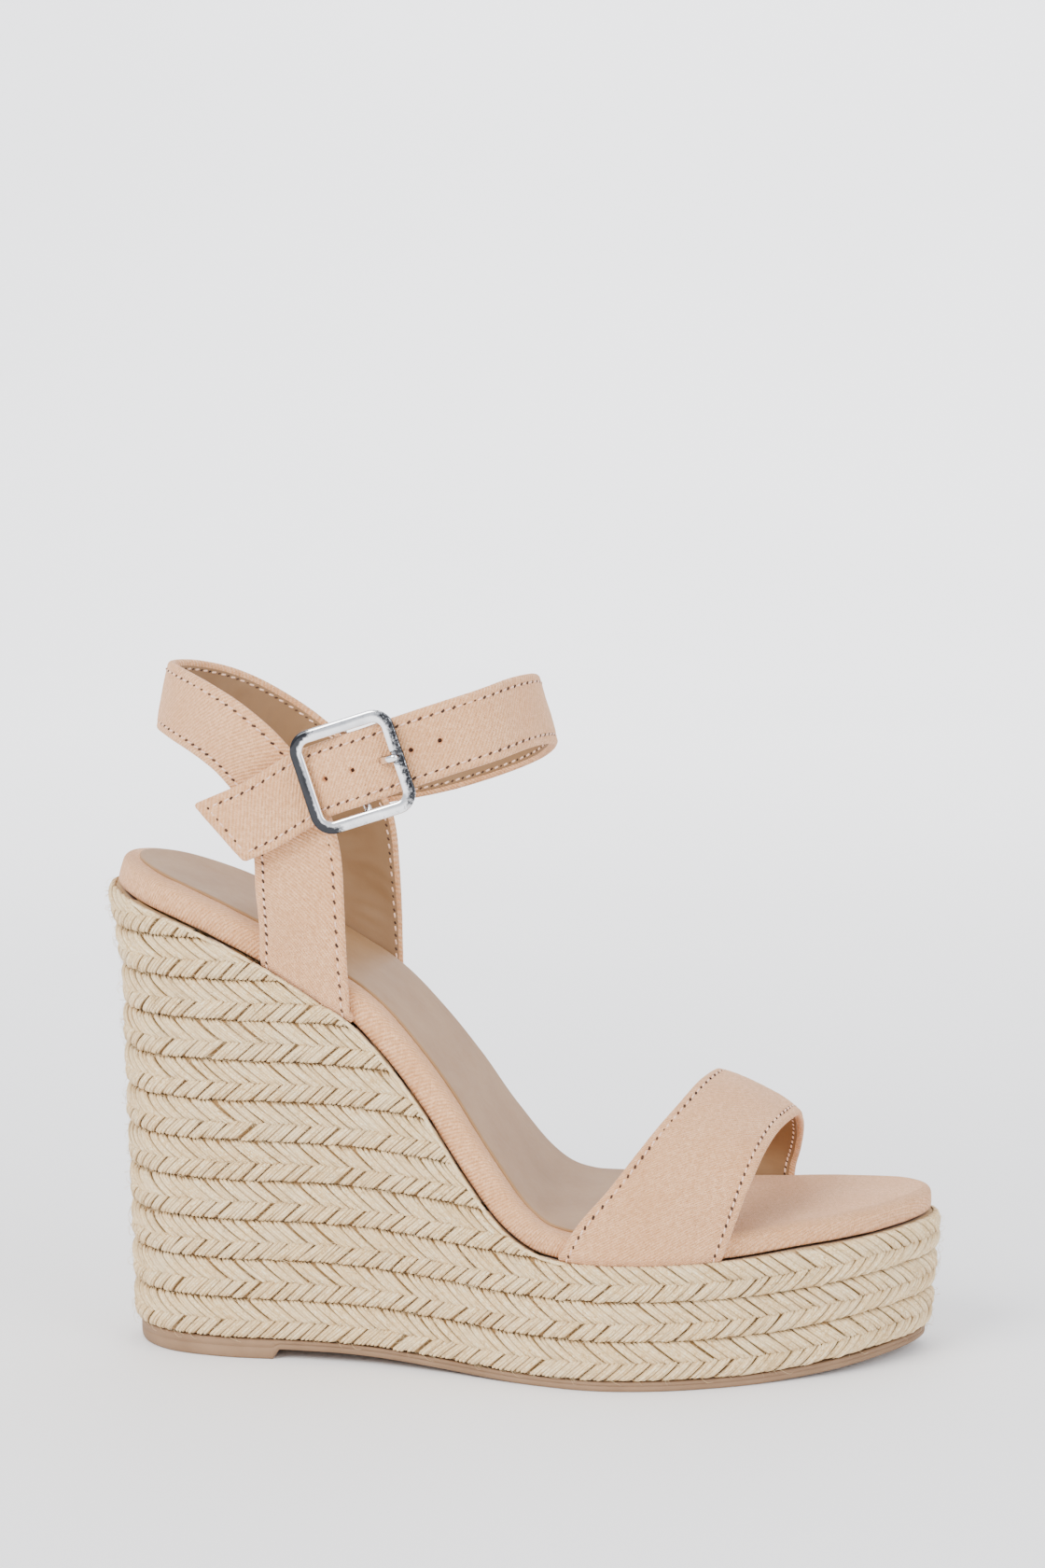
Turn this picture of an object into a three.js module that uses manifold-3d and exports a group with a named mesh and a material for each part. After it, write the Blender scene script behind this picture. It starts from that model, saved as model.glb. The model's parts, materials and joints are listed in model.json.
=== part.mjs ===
// Wedge sandal, right shoe: braided jute wedge, lasted microsuede footbed, toe strap,
// heel sling and a buckled ankle strap.  Millimetres, +X toe, +Y medial, +Z up.
import * as THREE from 'three';
import { mergeVertices } from 'three/addons/utils/BufferGeometryUtils.js';
import Module from 'manifold-3d';

const wasm = await Module();
wasm.setup();

// ---- driving dimensions -------------------------------------------------------------
const GAP = 0.3;                 // clearance between pieces that touch
const PLY_GAP = 0.4;             // clearance between the two plies of a strap
const ROWS = 11;                 // braid rows up the back of the heel
const ROW_H = 10.85;             // row height at the heel
const ROW_H_TOE = 10.4;          // row height at the forefoot
const BRAID_T = 5.5;             // braid thickness, outside to inside
const SOLE_T = 2.8;              // rubber sole thickness
const SOLE_LIFT = 2.7;           // the waist of the sole stands this far off the ground
const TOE_SPRING = 3.0;          // lift of the sole at the toe tip
const SOLE_INSET = 1.5;          // rubber sole edge inside the braid face
const PAD_END = -61.5;             // front edge of the moulded heel pad
const FLAT_FROM = 14, FLAT_TO = 60;   // flat tread under the ball
const BACK_LEAN = 3;             // the wedge back leans out by this much over its height
const HEEL_FLICK = 2.9;          // and by this much more in its top course or two
const TOE_TUCK = 2.8;            // the toe runs in by this much from top to bottom
const SIDE_FLARE = 0.24;         // the heel is this fraction wider at the top
const RIM_HEEL = 8, RIM_TOE = 6.6;    // height of the wrapped footbed rim
const RIM_INSET = 2.7;           // rim face inside the braid face
const SUEDE_T = 0.9;             // microsuede or lining thickness
const STRAP_W = 19;              // ankle strap and heel sling width
const LEAN_W = new THREE.Vector3(0.31, 0, -0.95);   // width direction of the buckled strap
const BAR = new THREE.Vector3(-37, -34.6, 161);     // middle of the buckle's centre bar
const HOLE_PITCH = 8.0;

const smooth = (a, b, t) => { const s = Math.min(1, Math.max(0, (t - a) / (b - a)));
  return s * s * (3 - 2 * s); };
const mix = (a, b, t) => a + (b - a) * t;
const vec = (x, y, z) => new THREE.Vector3(x, y, z);

// ---- materials ----------------------------------------------------------------------
const mat = (color, roughness, metalness = 0) =>
  new THREE.MeshStandardMaterial({ color, roughness, metalness, side: THREE.DoubleSide });
const SUEDE = mat('#d6b69b', 0.95), JUTE = mat('#d2bf9c', 0.95), RUBBER = mat('#b09a82', 0.8);
const LINING = mat('#c0a587', 0.5), BOARD = mat('#8a6b4a', 0.9), CORK = mat('#a98a62', 0.9);
const FOAM = mat('#e6dfc8', 0.9), STEEL = mat('#8d9094', 0.4, 1), NICKEL = mat('#c9ccd0', 0.15, 1);

// ---- last: side profile of the wedge top and plan outline ----------------------------
const TOP = new THREE.CatmullRomCurve3([[-116, 128.2], [-95, 121.6], [-80, 116], [-65, 108.6],
  [-50, 99.6], [-40, 93], [-30, 82.5], [-20, 69.6], [-10, 54.8], [0, 42.6], [8, 36.8], [16, 34.5],
  [28, 33.9], [58, 34.1], [80, 35.8], [116, 37.8]].map(([x, z]) => vec(x, 0, z)),
  false, 'centripetal').getPoints(400);
function topAt(x) {              // point and unit normal of the wedge top at x
  let i = TOP.findIndex((p) => p.x > x);
  i = i < 1 ? (x < 0 ? 1 : TOP.length - 1) : i;
  const a = TOP[i - 1], b = TOP[i], t = (x - a.x) / (b.x - a.x), d = b.clone().sub(a).normalize();
  return { z: mix(a.z, b.z, t), n: vec(-d.z, 0, d.x) };
}
const PLAN = new THREE.CatmullRomCurve3([[-104.4, 0], [-101.3, -11], [-92.6, -19.8], [-77, -24.6],
  [-55, -25.5], [-35, -27.5], [-15, -32.5], [5, -39], [25, -43.3], [42, -41.5], [58, -36],
  [75, -27.2], [92, -16.5], [103.8, -4], [110.6, 7.3], [112.8, 17], [109.6, 25], [100.5, 31.2],
  [86, 34.5], [70, 37], [45, 40.5], [20, 40.5], [0, 37], [-20, 31.5], [-40, 26.5], [-60, 24],
  [-79, 22.7], [-93.6, 17.8], [-101.6, 9.5]].map(([x, y]) => vec(x, y, 0)), true, 'centripetal');
const soleBottom = (x) => SOLE_LIFT * (1 - smooth(-50, FLAT_FROM, x))
  + TOE_SPRING * smooth(FLAT_TO, 112, x) ** 1.2;
const braidBase = (x) => soleBottom(x) + SOLE_T + GAP;
const rowHeight = (x) => mix(ROW_H, ROW_H_TOE, smooth(-60, 20, x));

function shift(p, z) {           // plan point carried up the leaning, flaring heel
  const k = Math.min(1.05, Math.max(0, (z - 6) / 120));
  const tuck = TOE_TUCK * (1 - Math.min(1, Math.max(0, z / 34)));
  const back = BACK_LEAN * k + HEEL_FLICK * smooth(98, 127, z);
  return vec(p.x - back * smooth(-40, -95, p.x) - tuck * smooth(60, 112, p.x),
    p.y * (1 + SIDE_FLARE * k * smooth(-5, -60, p.x)), z);
}
function planLoop(count, inset) { // points round the plan, moved inwards
  const pts = PLAN.getSpacedPoints(count).slice(0, count);
  return pts.map((p, i) => {
    const a = pts[(i + count - 1) % count], b = pts[(i + 1) % count];
    const t = b.clone().sub(a).normalize();
    return vec(p.x - t.y * inset, p.y + t.x * inset, 0);
  });
}
const loops = new Map();
function sideY(x, z, inset) {    // lateral and medial y of the inset outline at x, height z
  if (!loops.has(inset)) loops.set(inset, planLoop(240, inset));
  const pts = loops.get(inset).map((p) => shift(p, z));
  let lo = 1e9, hi = -1e9;
  pts.forEach((a, i) => {
    const b = pts[(i + 1) % pts.length];
    if ((a.x - x) * (b.x - x) > 0 || a.x === b.x) return;
    const y = mix(a.y, b.y, (x - a.x) / (b.x - a.x));
    lo = Math.min(lo, y); hi = Math.max(hi, y);
  });
  return [lo, hi];
}
function endsX(zBack, zToe, inset) {
  if (!loops.has(inset)) loops.set(inset, planLoop(240, inset));
  const at = (z) => loops.get(inset).map((p) => shift(p, z).x);
  return [Math.min(...at(zBack)) + 0.2, Math.max(...at(zToe)) - 0.2];
}

// ---- solid builders -------------------------------------------------------------------
function closedMesh(verts, faces) {
  const g = new THREE.BufferGeometry();
  g.setAttribute('position', new THREE.Float32BufferAttribute(verts.flatMap((v) => [v.x, v.y, v.z]), 3));
  g.setIndex(faces.flat());
  return g;
}
function toManifold(geometry) {
  const g = geometry.clone();
  g.deleteAttribute('normal'); g.deleteAttribute('uv');
  const m = mergeVertices(g, 1e-4);
  return new wasm.Manifold(new wasm.Mesh({ numProp: 3,
    vertProperties: new Float32Array(m.attributes.position.array),
    triVerts: new Uint32Array(m.index.array) }));
}
function fromManifold(solid) {
  const m = solid.getMesh(), g = new THREE.BufferGeometry();
  g.setAttribute('position', new THREE.BufferAttribute(new Float32Array(m.vertProperties), 3));
  g.setIndex([...m.triVerts]);
  return g;
}
const cut = (a, ...tools) => fromManifold(tools.reduce((s, t) => s.subtract(toManifold(t)),
  toManifold(a)));
const join = (a, b) => fromManifold(toManifold(a).add(toManifold(b)));

function loft(sections) {        // closed solid through equal-sized rings of points, ends capped
  const n = sections[0].length, verts = sections.flat(), faces = [], last = sections.length - 1;
  for (let i = 0; i < last; i++) for (let j = 0; j < n; j++) {
    const a = i * n + j, b = i * n + (j + 1) % n, c = a + n, d = b + n;
    faces.push([a, b, d], [a, d, c]);
  }
  for (let j = 1; j < n - 1; j++) {
    faces.push([0, j + 1, j], [last * n, last * n + j, last * n + j + 1]);
  }
  return outward(closedMesh(verts, faces));
}
function torus(sections) {       // like loft, but the last section joins the first
  const n = sections[0].length, m = sections.length, faces = [];
  for (let i = 0; i < m; i++) for (let j = 0; j < n; j++) {
    const k = (i + 1) % m, a = i * n + j, b = i * n + (j + 1) % n, c = k * n + j, d = k * n + (j + 1) % n;
    faces.push([a, b, d], [a, d, c]);
  }
  return outward(closedMesh(sections.flat(), faces));
}
function outward(g) {            // turn the faces outwards if the solid came out inside-out
  const p = g.attributes.position, ix = g.index.array, a = vec(), b = vec(), c = vec();
  let volume = 0;
  for (let i = 0; i < ix.length; i += 3) {
    a.fromBufferAttribute(p, ix[i]); b.fromBufferAttribute(p, ix[i + 1]); c.fromBufferAttribute(p, ix[i + 2]);
    volume += a.dot(b.cross(c));
  }
  if (volume < 0) for (let i = 0; i < ix.length; i += 3) [ix[i], ix[i + 1]] = [ix[i + 1], ix[i]];
  return g;
}
function stations(from, to, count) {   // closer together at both ends
  return Array.from({ length: count + 1 }, (_, i) =>
    from + (to - from) * (1 - Math.cos(Math.PI * i / count)) / 2);
}
function sheet(surface, nv, nu, inner, outer) { // thickened surface; outer side is at +normal
  const at = (i, j, d) => {
    const v = i / nv, u = j / nu, e = 1e-3;
    const dv = surface(Math.min(1, v + e), u).sub(surface(Math.max(0, v - e), u));
    const du = surface(v, Math.min(1, u + e)).sub(surface(v, Math.max(0, u - e)));
    return surface(v, u).addScaledVector(dv.cross(du).normalize(), d);
  };
  const sections = [];
  for (let i = 0; i <= nv; i++) {
    const ring = [];
    for (let j = 0; j <= nu; j++) ring.push(at(i, j, inner));
    for (let j = nu; j >= 0; j--) ring.push(at(i, j, outer));
    sections.push(ring);
  }
  return stripCaps(sections, nu);
}
function stripCaps(sections, nu) { // loft whose end caps are strips between the two skins
  const n = sections[0].length, last = sections.length - 1, faces = [];
  for (let i = 0; i < last; i++) for (let j = 0; j < n; j++) {
    const a = i * n + j, b = i * n + (j + 1) % n, c = a + n, d = b + n;
    faces.push([a, b, d], [a, d, c]);
  }
  for (const [base, flip] of [[0, true], [last * n, false]]) for (let j = 0; j < nu; j++) {
    const a = base + j, b = a + 1, d = base + n - 1 - j, c = d - 1;
    faces.push(flip ? [a, c, b] : [a, b, c], flip ? [a, d, c] : [a, c, d]);
  }
  return outward(closedMesh(sections.flat(), faces));
}
const box = (x0, x1, y0, y1, z0, z1) => new THREE.BoxGeometry(x1 - x0, y1 - y0, z1 - z0)
  .translate((x0 + x1) / 2, (y0 + y1) / 2, (z0 + z1) / 2);

// ---- sole and wedge -------------------------------------------------------------------
function flatSole(from, to, bottom, top, inset) {
  return loft(stations(from, to, 36).map((x) => {
    const [lo, hi] = sideY(x, 6, inset);
    return [vec(x, lo + 0.6, bottom(x)), vec(x, hi - 0.6, bottom(x)), vec(x, hi, top(x)),
      vec(x, lo, top(x))];
  }));
}
function outsole() {             // thin sole with the moulded heel pad under its back end
  const [back, toe] = endsX(6, 6, SOLE_INSET);
  const thin = flatSole(back, toe, soleBottom, (x) => soleBottom(x) + SOLE_T, SOLE_INSET);
  const pad = loft(stations(back, PAD_END, 12).map((x) => {
    const [lo, hi] = sideY(x, 6, SOLE_INSET);
    return [vec(x, lo + 1.2, 0), vec(x, hi - 1.2, 0), vec(x, hi - 0.4, SOLE_LIFT + 0.6),
      vec(x, lo + 0.4, SOLE_LIFT + 0.6)];
  }));
  return join(thin, pad);
}
function belowTop(clear) {       // everything under the wedge top, less a clearance
  return loft(stations(-125, 125, 60).map((x) => {
    const { z } = topAt(x);
    return [vec(x, -70, -20), vec(x, 70, -20), vec(x, 70, z - clear), vec(x, -70, z - clear)];
  }));
}
function braidRow(index) {       // one course of braid, cut off where it meets the footbed
  const level = (x, f) => braidBase(x) + index * rowHeight(x) + f * rowHeight(x)
    + (index === 2 && f > 0.5 ? Math.max(0, x - 18) * 0.6 : 0);
  const g = GAP / 2 / ROW_H;
  const bulge = [[g, 0.9], [0.2, 0.25], [0.5, 0], [0.8, 0.25], [1 - g, 0.9]];
  const ring = PLAN.getSpacedPoints(44).slice(0, 44).map((p, i, all) => {
    const a = all[(i + 43) % 44], b = all[(i + 1) % 44], t = b.clone().sub(a).normalize();
    const at = (f, inset) => {
      const z = level(p.x, f), q = shift(p, z);
      return vec(q.x - t.y * inset, q.y + t.x * inset, z);
    };
    return [...bulge.map(([f, inset]) => at(f, inset)), at(1 - g, BRAID_T), at(g, BRAID_T)];
  });
  const whole = toManifold(torus(ring)).intersect(toManifold(belowTop(GAP)));
  if (index < 3) return fromManifold(whole);
  const heelPart = whole.intersect(toManifold(box(-130, 7, -80, 80, 0, 140)));
  return fromManifold(heelPart.decompose().sort((a, b) => b.volume() - a.volume())[0]);
}
function wedgeCore() {
  const inset = BRAID_T + 1.6, [back, toe] = endsX(6, 6, inset);
  return loft(stations(back, toe, 40).map((x) => {
    const z0 = braidBase(x), z1 = topAt(x).z - 0.4;
    const [lo, hi] = sideY(x, z0, inset), [lo1, hi1] = sideY(x, Math.min(z1, 60), inset);
    return [vec(x, lo, z0), vec(x, hi, z0), vec(x, Math.min(hi1, hi + 4), z1),
      vec(x, Math.max(lo1, lo - 4), z1)];
  }));
}

// ---- footbed --------------------------------------------------------------------------
const rim = (x) => mix(RIM_HEEL, RIM_TOE, smooth(-10, 20, x));
function footSlab(low, high, inset, from, to, count = 40, soft = 0) {
  const [back, toe] = endsX(125, 37, inset);
  return loft(stations(from ?? back, to ?? toe, count).map((x) => {
    const { z, n } = topAt(x), [lo, hi] = sideY(x, z, inset), base = vec(x, 0, z);
    const p = (y, d) => base.clone().addScaledVector(n, d).setY(y);
    const l = low(x), h = high(x), s = Math.min(soft, (hi - lo) / 3);
    return soft ? [p(lo, l), p(hi, l), p(hi, h - s), p(hi - s, h), p(lo + s, h), p(lo, h - s)]
      : [p(lo, l), p(hi, l), p(hi, h), p(lo, h)];
  }));
}
const insoleCover = () => cut(footSlab(() => GAP, rim, RIM_INSET, null, null, 40, 1.2),
  footSlab(() => -2, (x) => rim(x) - SUEDE_T, RIM_INSET + SUEDE_T));
const insoleBoard = () => footSlab(() => 2.1, () => 3.9, RIM_INSET + SUEDE_T + GAP);
const foamPad = () => footSlab(() => 4.2, (x) => rim(x) - SUEDE_T - GAP, RIM_INSET + SUEDE_T + GAP);
const sockLiner = () => footSlab((x) => rim(x) + GAP + 0.1, (x) => rim(x) + GAP + 0.9, RIM_INSET + 3.6,
  null, 34);
function shank() {               // spring-steel strip under the waist of the board
  return loft(stations(-78, 6, 20).map((x) => {
    const { z, n } = topAt(x), p = (y, d) => vec(x, 0, z).addScaledVector(n, d).setY(y);
    return [p(-5.5, 0.5), p(5.5, 0.5), p(5.5, 1.8), p(-5.5, 1.8)];
  }));
}

// ---- straps ---------------------------------------------------------------------------
const line = (pts) => new THREE.CatmullRomCurve3(pts.map((p) => vec(...p)), false, 'centripetal');
function onRim(p, blend, side) { // pull a strap point onto the flank of the wedge
  const { z } = topAt(p.x), y = sideY(p.x, z, 0)[side < 0 ? 0 : 1];
  p.y = mix(p.y, y, blend);
  return p;
}
const FOOT_CLEAR = 0.5;          // strap ends stop this far above the braid
const footZ = (x) => topAt(x).z - 4;   // strap surfaces start below the braid and are trimmed
function toeStrapSurface() {
  const rear = line([[14.4, -42, footZ(14.4)], [20.9, -42.5, 43], [30, -38.5, 54], [37, -31.5, 63], [44, -22, 71],
    [50, -8, 76.5], [53, 6, 76.5], [53, 20, 70], [48.5, 32, 59], [42, 40, 46], [37, 41.5, footZ(37)]]);
  const front = line([[57.5, -37, footZ(57.5)], [62, -36.5, 43], [65, -33, 52], [68, -26, 59.5],
    [71, -15, 64], [74.5, 0, 65.5], [76, 13, 63.5], [75.5, 25, 57], [74, 32.5, 49], [72.5, 36.5, 43],
    [71.5, 37.5, footZ(71.5)]]);
  return (v, u) => {
    const a = rear.getPoint(v), b = front.getPoint(v), p = a.clone().lerp(b, u);
    const camber = 4 * u * (1 - u), top = Math.sin(Math.PI * v);
    p.z += camber * 1.6 * top;
    return onRim(p, 1 - smooth(5, 30, p.z - footZ(p.x)), v - 0.5);
  };
}
function heelSlingSurface() {    // lateral upright, round the back of the ankle, medial upright
  const half = STRAP_W / 2;
  const mid = [[-51.5, 33, 94, 14.3, 0.535], [-51.8, 33, 101, 13.8, 0.52], [-52, 32.6, 113, 12.6, 0.4], [-52.5, 32.4, 126, 11.8, 0.12],
    [-53.3, 32.6, 139, 11.4, -0.18], [-56.5, 32.4, 150, 10.6, -0.5], [-63, 30.8, 159.5, 9.8, -0.9],
    [-72, 27, 167, 9.5, -1.15], [-82, 20.5, 172, 9.4, -1.32], [-91, 11, 174.8, 9.3, -1.45],
    [-95.3, 0, 175.3, 9.3, -Math.PI / 2]];
  const inner = [[-47.3, 33, 94, 14.3, 0.535], [-47.6, 33, 101, 13.8, 0.52], [-47.8, 32.6, 113, 12.6, 0.4],
    [-48.5, 32.4, 126, 11.8, 0.12], [-50, 32.6, 138, 11.4, -0.18], [-54.5, 32.4, 148, 10.6, -0.5],
    [-62.5, 30.8, 157, 9.8, -0.9], [-72, 27, 164.8, 9.5, -1.15], [-82, 20.5, 171, 9.4, -1.32],
    [-91, 11, 174.5, 9.3, -1.45]];
  const rows = [...mid.map(([x, y, z, w, a]) => [x, -y, z, w, a]), ...inner.reverse()];
  const path = line(rows.map(([x, y, z]) => [x, y, z]));
  const span = line(rows.map(([, , , w, a]) => [w, a, 0]));
  return (v, u) => {
    const c = path.getPoint(v), s = span.getPoint(v), k = (u - 0.5) * 2 * s.x;
    const dir = vec(-Math.cos(s.y), 0, Math.sin(s.y));
    const lean = smooth(0.3, 0.5, v) * (1 - smooth(0.5, 0.7, v));
    dir.x -= 0.17 * lean;
    dir.normalize();
    const p = c.addScaledVector(dir, k);
    return p.z > 135 ? p : onRim(p, 1 - smooth(6, 28, p.z - footZ(p.x)), v - 0.5);
  };
}
// Ankle strap: from the pointed tail, through the buckle, round the front, to the medial side.
const STRAP_PATH = [[-73, -36.7, 143.4], [-62, -37, 148.4], [-53.5, -36.9, 153.6], [-48.5, -37, 156.6],
  [-42.5, -38.3, 159.1], [-37, -39.5, 161], [-31.5, -38.3, 162.8], [-25, -36.9, 165.1],
  [-14, -34, 168.7], [-3, -27.5, 172], [4.2, -16, 174], [8.1, -2, 173.5], [6.1, 12, 170],
  [-0.5, 22, 165.2], [-11, 29, 160.2], [-25, 33, 155.3], [-40, 35.6, 151.8], [-52, 35.8, 150],
  [-61, 35.4, 149]];
function ankleStrapSurface() {
  const path = line(STRAP_PATH);
  return (v, u) => {
    const c = path.getPoint(v), t = path.getTangent(v), y = vec(0, 1, 0);
    const out = vec(t.y, -t.x, 0).normalize();           // away from the ankle, level
    const lean = 0.28 * smooth(-20, 6, c.x);
    const w = t.clone().cross(out).normalize().multiplyScalar(-1);
    if (w.z < 0) w.multiplyScalar(-1);
    w.addScaledVector(vec(out.x, out.y, 0), -lean).normalize();
    return c.addScaledVector(w, (u - 0.5) * STRAP_W);
  };
}
const trim = (g) => cut(g, belowTop(-FOOT_CLEAR));
const skins = (surface, nv, nu, sign) => ({
  outer: sheet(surface, nv, nu, -SUEDE_T * sign, 0),
  lining: sheet(surface, nv, nu, -(2 * SUEDE_T + PLY_GAP) * sign, -(SUEDE_T + PLY_GAP) * sign),
});

// ---- buckle: local frame u along the strap, v across it, w outwards ------------------------
const U = vec(0.949, 0, 0.316).normalize(), W = vec(0, -1, 0), V = W.clone().cross(U).normalize();
const toBuckle = (g) => g.applyMatrix4(new THREE.Matrix4().makeBasis(U, V, W).setPosition(BAR));
const FRAME_L = 28.4, FRAME_H = 27, BAR_W = 3.3, FRAME_W = 4.8;   // FRAME_W: frame plane off the bar
function rodAlong(pts, radius, sides, count) {   // closed round rod along a curve
  const curve = line(pts), frames = curve.computeFrenetFrames(count, false);
  return loft(Array.from({ length: count + 1 }, (_, i) => Array.from({ length: sides }, (_, j) => {
    const a = 2 * Math.PI * j / sides, c = curve.getPoint(i / count);
    return c.addScaledVector(frames.normals[i], radius * Math.cos(a))
      .addScaledVector(frames.binormals[i], radius * Math.sin(a));
  })));
}
function roundedPath(shape, l, h, r) {
  const x = l / 2, y = h / 2;
  shape.moveTo(-x + r, -y); shape.lineTo(x - r, -y); shape.quadraticCurveTo(x, -y, x, -y + r);
  shape.lineTo(x, y - r); shape.quadraticCurveTo(x, y, x - r, y); shape.lineTo(-x + r, y);
  shape.quadraticCurveTo(-x, y, -x, y - r); shape.lineTo(-x, -y + r);
  shape.quadraticCurveTo(-x, -y, -x + r, -y);
  return shape;
}
function buckleFrame() {         // rounded square frame with a bowed centre bar
  const shape = roundedPath(new THREE.Shape(), FRAME_L - 0.8, FRAME_H - 0.8, 4.5);
  shape.holes.push(roundedPath(new THREE.Path(), FRAME_L - 2 * BAR_W + 0.8, FRAME_H - 2 * BAR_W + 0.8, 2.5));
  const ring = new THREE.ExtrudeGeometry(shape, { depth: 1.2, bevelSize: 0.4, bevelThickness: 0.4,
    bevelSegments: 1, curveSegments: 4 }).translate(0, 0, FRAME_W - 0.6);
  const y = FRAME_H / 2 - BAR_W / 2;
  const bar = rodAlong([[0, -y, FRAME_W], [0, -y + 0.5, 2.2], [0, -y + 1.5, 0.5], [0, -y + 3.4, 0],
    [0, y - 3.4, 0], [0, y - 1.5, 0.5], [0, y - 0.5, 2.2], [0, y, FRAME_W]], 1.05, 8, 22);
  return toBuckle(join(ring, bar));
}
function buckleProng() {         // eye round the centre bar, tongue over the front bar
  const eye = new THREE.TorusGeometry(1.85, 0.45, 6, 14).rotateX(Math.PI / 2).scale(1, 3, 1);
  const tongue = loft([[1.7, 0.2, 1.3, 0.55], [4, 1.5, 1.3, 0.6], [8, 3.9, 1.15, 0.7],
    [10.4, 6.1, 1.1, 0.7], [12, 7, 1, 0.7], [14.1, 7, 0.8, 0.6]].map(([u, w, h, t]) =>
    [vec(u, -h, w - t), vec(u, h, w - t), vec(u, h * 0.8, w + t), vec(u, -h * 0.8, w + t)]));
  return toBuckle(join(eye, tongue));
}
function buckleTab() {           // folded tab round the bar, sewn down on the heel sling
  const path = line([[-9, -2.3], [-5, -2.1], [-2, -1.95], [0.6, -1.8], [1.85, -0.7], [1.85, 0.7],
    [0.7, 1.8], [-1, 1.75], [-4.5, 0.2], [-8, -0.8], [-12, -1], [-23, -1]].map(([u, w]) => [u, 0, w]));
  const strip = sheet((v, s) => path.getPoint(v).add(vec(0, (s - 0.5) * 13, 0)), 34, 1, -0.45, 0.45);
  return toBuckle(cut(strip, box(-3.2, 4.5, -2.2, 2.2, -4, 4)));
}
function punch(g) {              // adjustment holes; the fastened one is drawn out by the prong
  const drills = [-1, 0, 2, 3].map((k) => toBuckle(new THREE.CylinderGeometry(1.2, 1.2, 16, 10)
    .rotateX(Math.PI / 2).translate(k * HOLE_PITCH, 0, 2)));
  return cut(g, ...drills, toBuckle(box(1.2, 12.6, -1.8, 1.8, -6, 12)));
}

// ---- assembly -------------------------------------------------------------------------
const model = new THREE.Group();
function add(name, geometry, material) {
  const g = geometry.index ? geometry.toNonIndexed() : geometry;
  g.deleteAttribute('normal');
  g.computeVertexNormals();
  const mesh = new THREE.Mesh(g, material);
  mesh.name = name;
  model.add(mesh);
}
add('outsole', outsole(), RUBBER);
add('wedge_core', wedgeCore(), CORK);
for (let i = 0; i < ROWS; i++) add(`braid_row_${String(i + 1).padStart(2, '0')}`, braidRow(i), JUTE);
add('steel_shank', shank(), STEEL);
add('insole_board', insoleBoard(), BOARD);
add('foam_pad', foamPad(), FOAM);
add('insole_cover', insoleCover(), SUEDE);
add('sock_liner', sockLiner(), LINING);
const toeStrap = skins(toeStrapSurface(), 30, 4, -1);
add('toe_strap_outer', trim(toeStrap.outer), SUEDE);
add('toe_strap_lining', trim(toeStrap.lining), LINING);
const sling = skins(heelSlingSurface(), 48, 2, 1);
add('heel_sling_outer', trim(sling.outer), SUEDE);
add('heel_sling_lining', trim(sling.lining), LINING);
const ankle = skins(ankleStrapSurface(), 90, 1, 1);
add('ankle_strap_outer', punch(ankle.outer), SUEDE);
add('ankle_strap_lining', punch(ankle.lining), LINING);
add('buckle_tab', buckleTab(), SUEDE);
add('buckle_frame', buckleFrame(), NICKEL);
add('buckle_prong', buckleProng(), NICKEL);

const bounds = new THREE.Box3().setFromObject(model), middle = bounds.getCenter(vec());
model.position.set(-middle.x, -middle.y, -bounds.min.z);
const root = new THREE.Group();
root.add(model);
root.updateMatrixWorld(true);
export default root;
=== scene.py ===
"""Looks for the wedge sandal: braided jute, microsuede straps and footbed, liner, rubber, buckle."""
import json
import math

import bpy
import numpy as np
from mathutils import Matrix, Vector


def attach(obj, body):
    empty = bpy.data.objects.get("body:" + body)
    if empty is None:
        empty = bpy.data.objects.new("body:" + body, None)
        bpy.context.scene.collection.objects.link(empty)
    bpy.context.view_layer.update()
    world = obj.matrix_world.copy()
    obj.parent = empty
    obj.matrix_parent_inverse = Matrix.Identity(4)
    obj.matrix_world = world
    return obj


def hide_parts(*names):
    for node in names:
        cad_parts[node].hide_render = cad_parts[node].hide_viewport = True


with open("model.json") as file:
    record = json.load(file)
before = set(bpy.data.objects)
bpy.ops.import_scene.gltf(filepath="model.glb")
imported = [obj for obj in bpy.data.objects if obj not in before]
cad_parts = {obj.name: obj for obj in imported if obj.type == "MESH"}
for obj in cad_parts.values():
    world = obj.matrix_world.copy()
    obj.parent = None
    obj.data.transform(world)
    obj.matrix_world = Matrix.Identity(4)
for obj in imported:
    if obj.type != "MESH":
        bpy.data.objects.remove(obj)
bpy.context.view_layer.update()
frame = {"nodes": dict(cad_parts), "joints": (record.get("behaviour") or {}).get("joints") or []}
rng = np.random.default_rng(7)
MM = 0.001

# ---- the shoe's own dimensions, in millimetres (the same ones the CAD part is driven by) ----
ROWS, ROW_H, ROW_H_TOE = 11, 10.85, 10.4
SOLE_T, SOLE_LIFT, TOE_SPRING, SOLE_INSET, PAD_END = 2.8, 2.7, 3.0, 1.5, -61.5
FLAT_FROM, FLAT_TO = 14.0, 60.0
BACK_LEAN, HEEL_FLICK, SIDE_FLARE, TOE_TUCK = 3.0, 2.9, 0.24, 2.8
RIM_HEEL, RIM_TOE, RIM_INSET = 8.0, 6.6, 2.7
STRAP_W, STRAP_T = 19.0, 2.1
BAR = np.array([-37.0, -34.6, 161.0])
HOLE_PITCH = 8.0
BAR_W, FRAME_L, FRAME_H, FRAME_W = 3.3, 28.4, 27.0, 4.8
JOINTS = {j["name"]: j for j in frame["joints"]}
SHIFT = np.array(JOINTS["buckle_pivot"]["pos_m"]) / MM - BAR      # shoe drawing to frame

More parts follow.
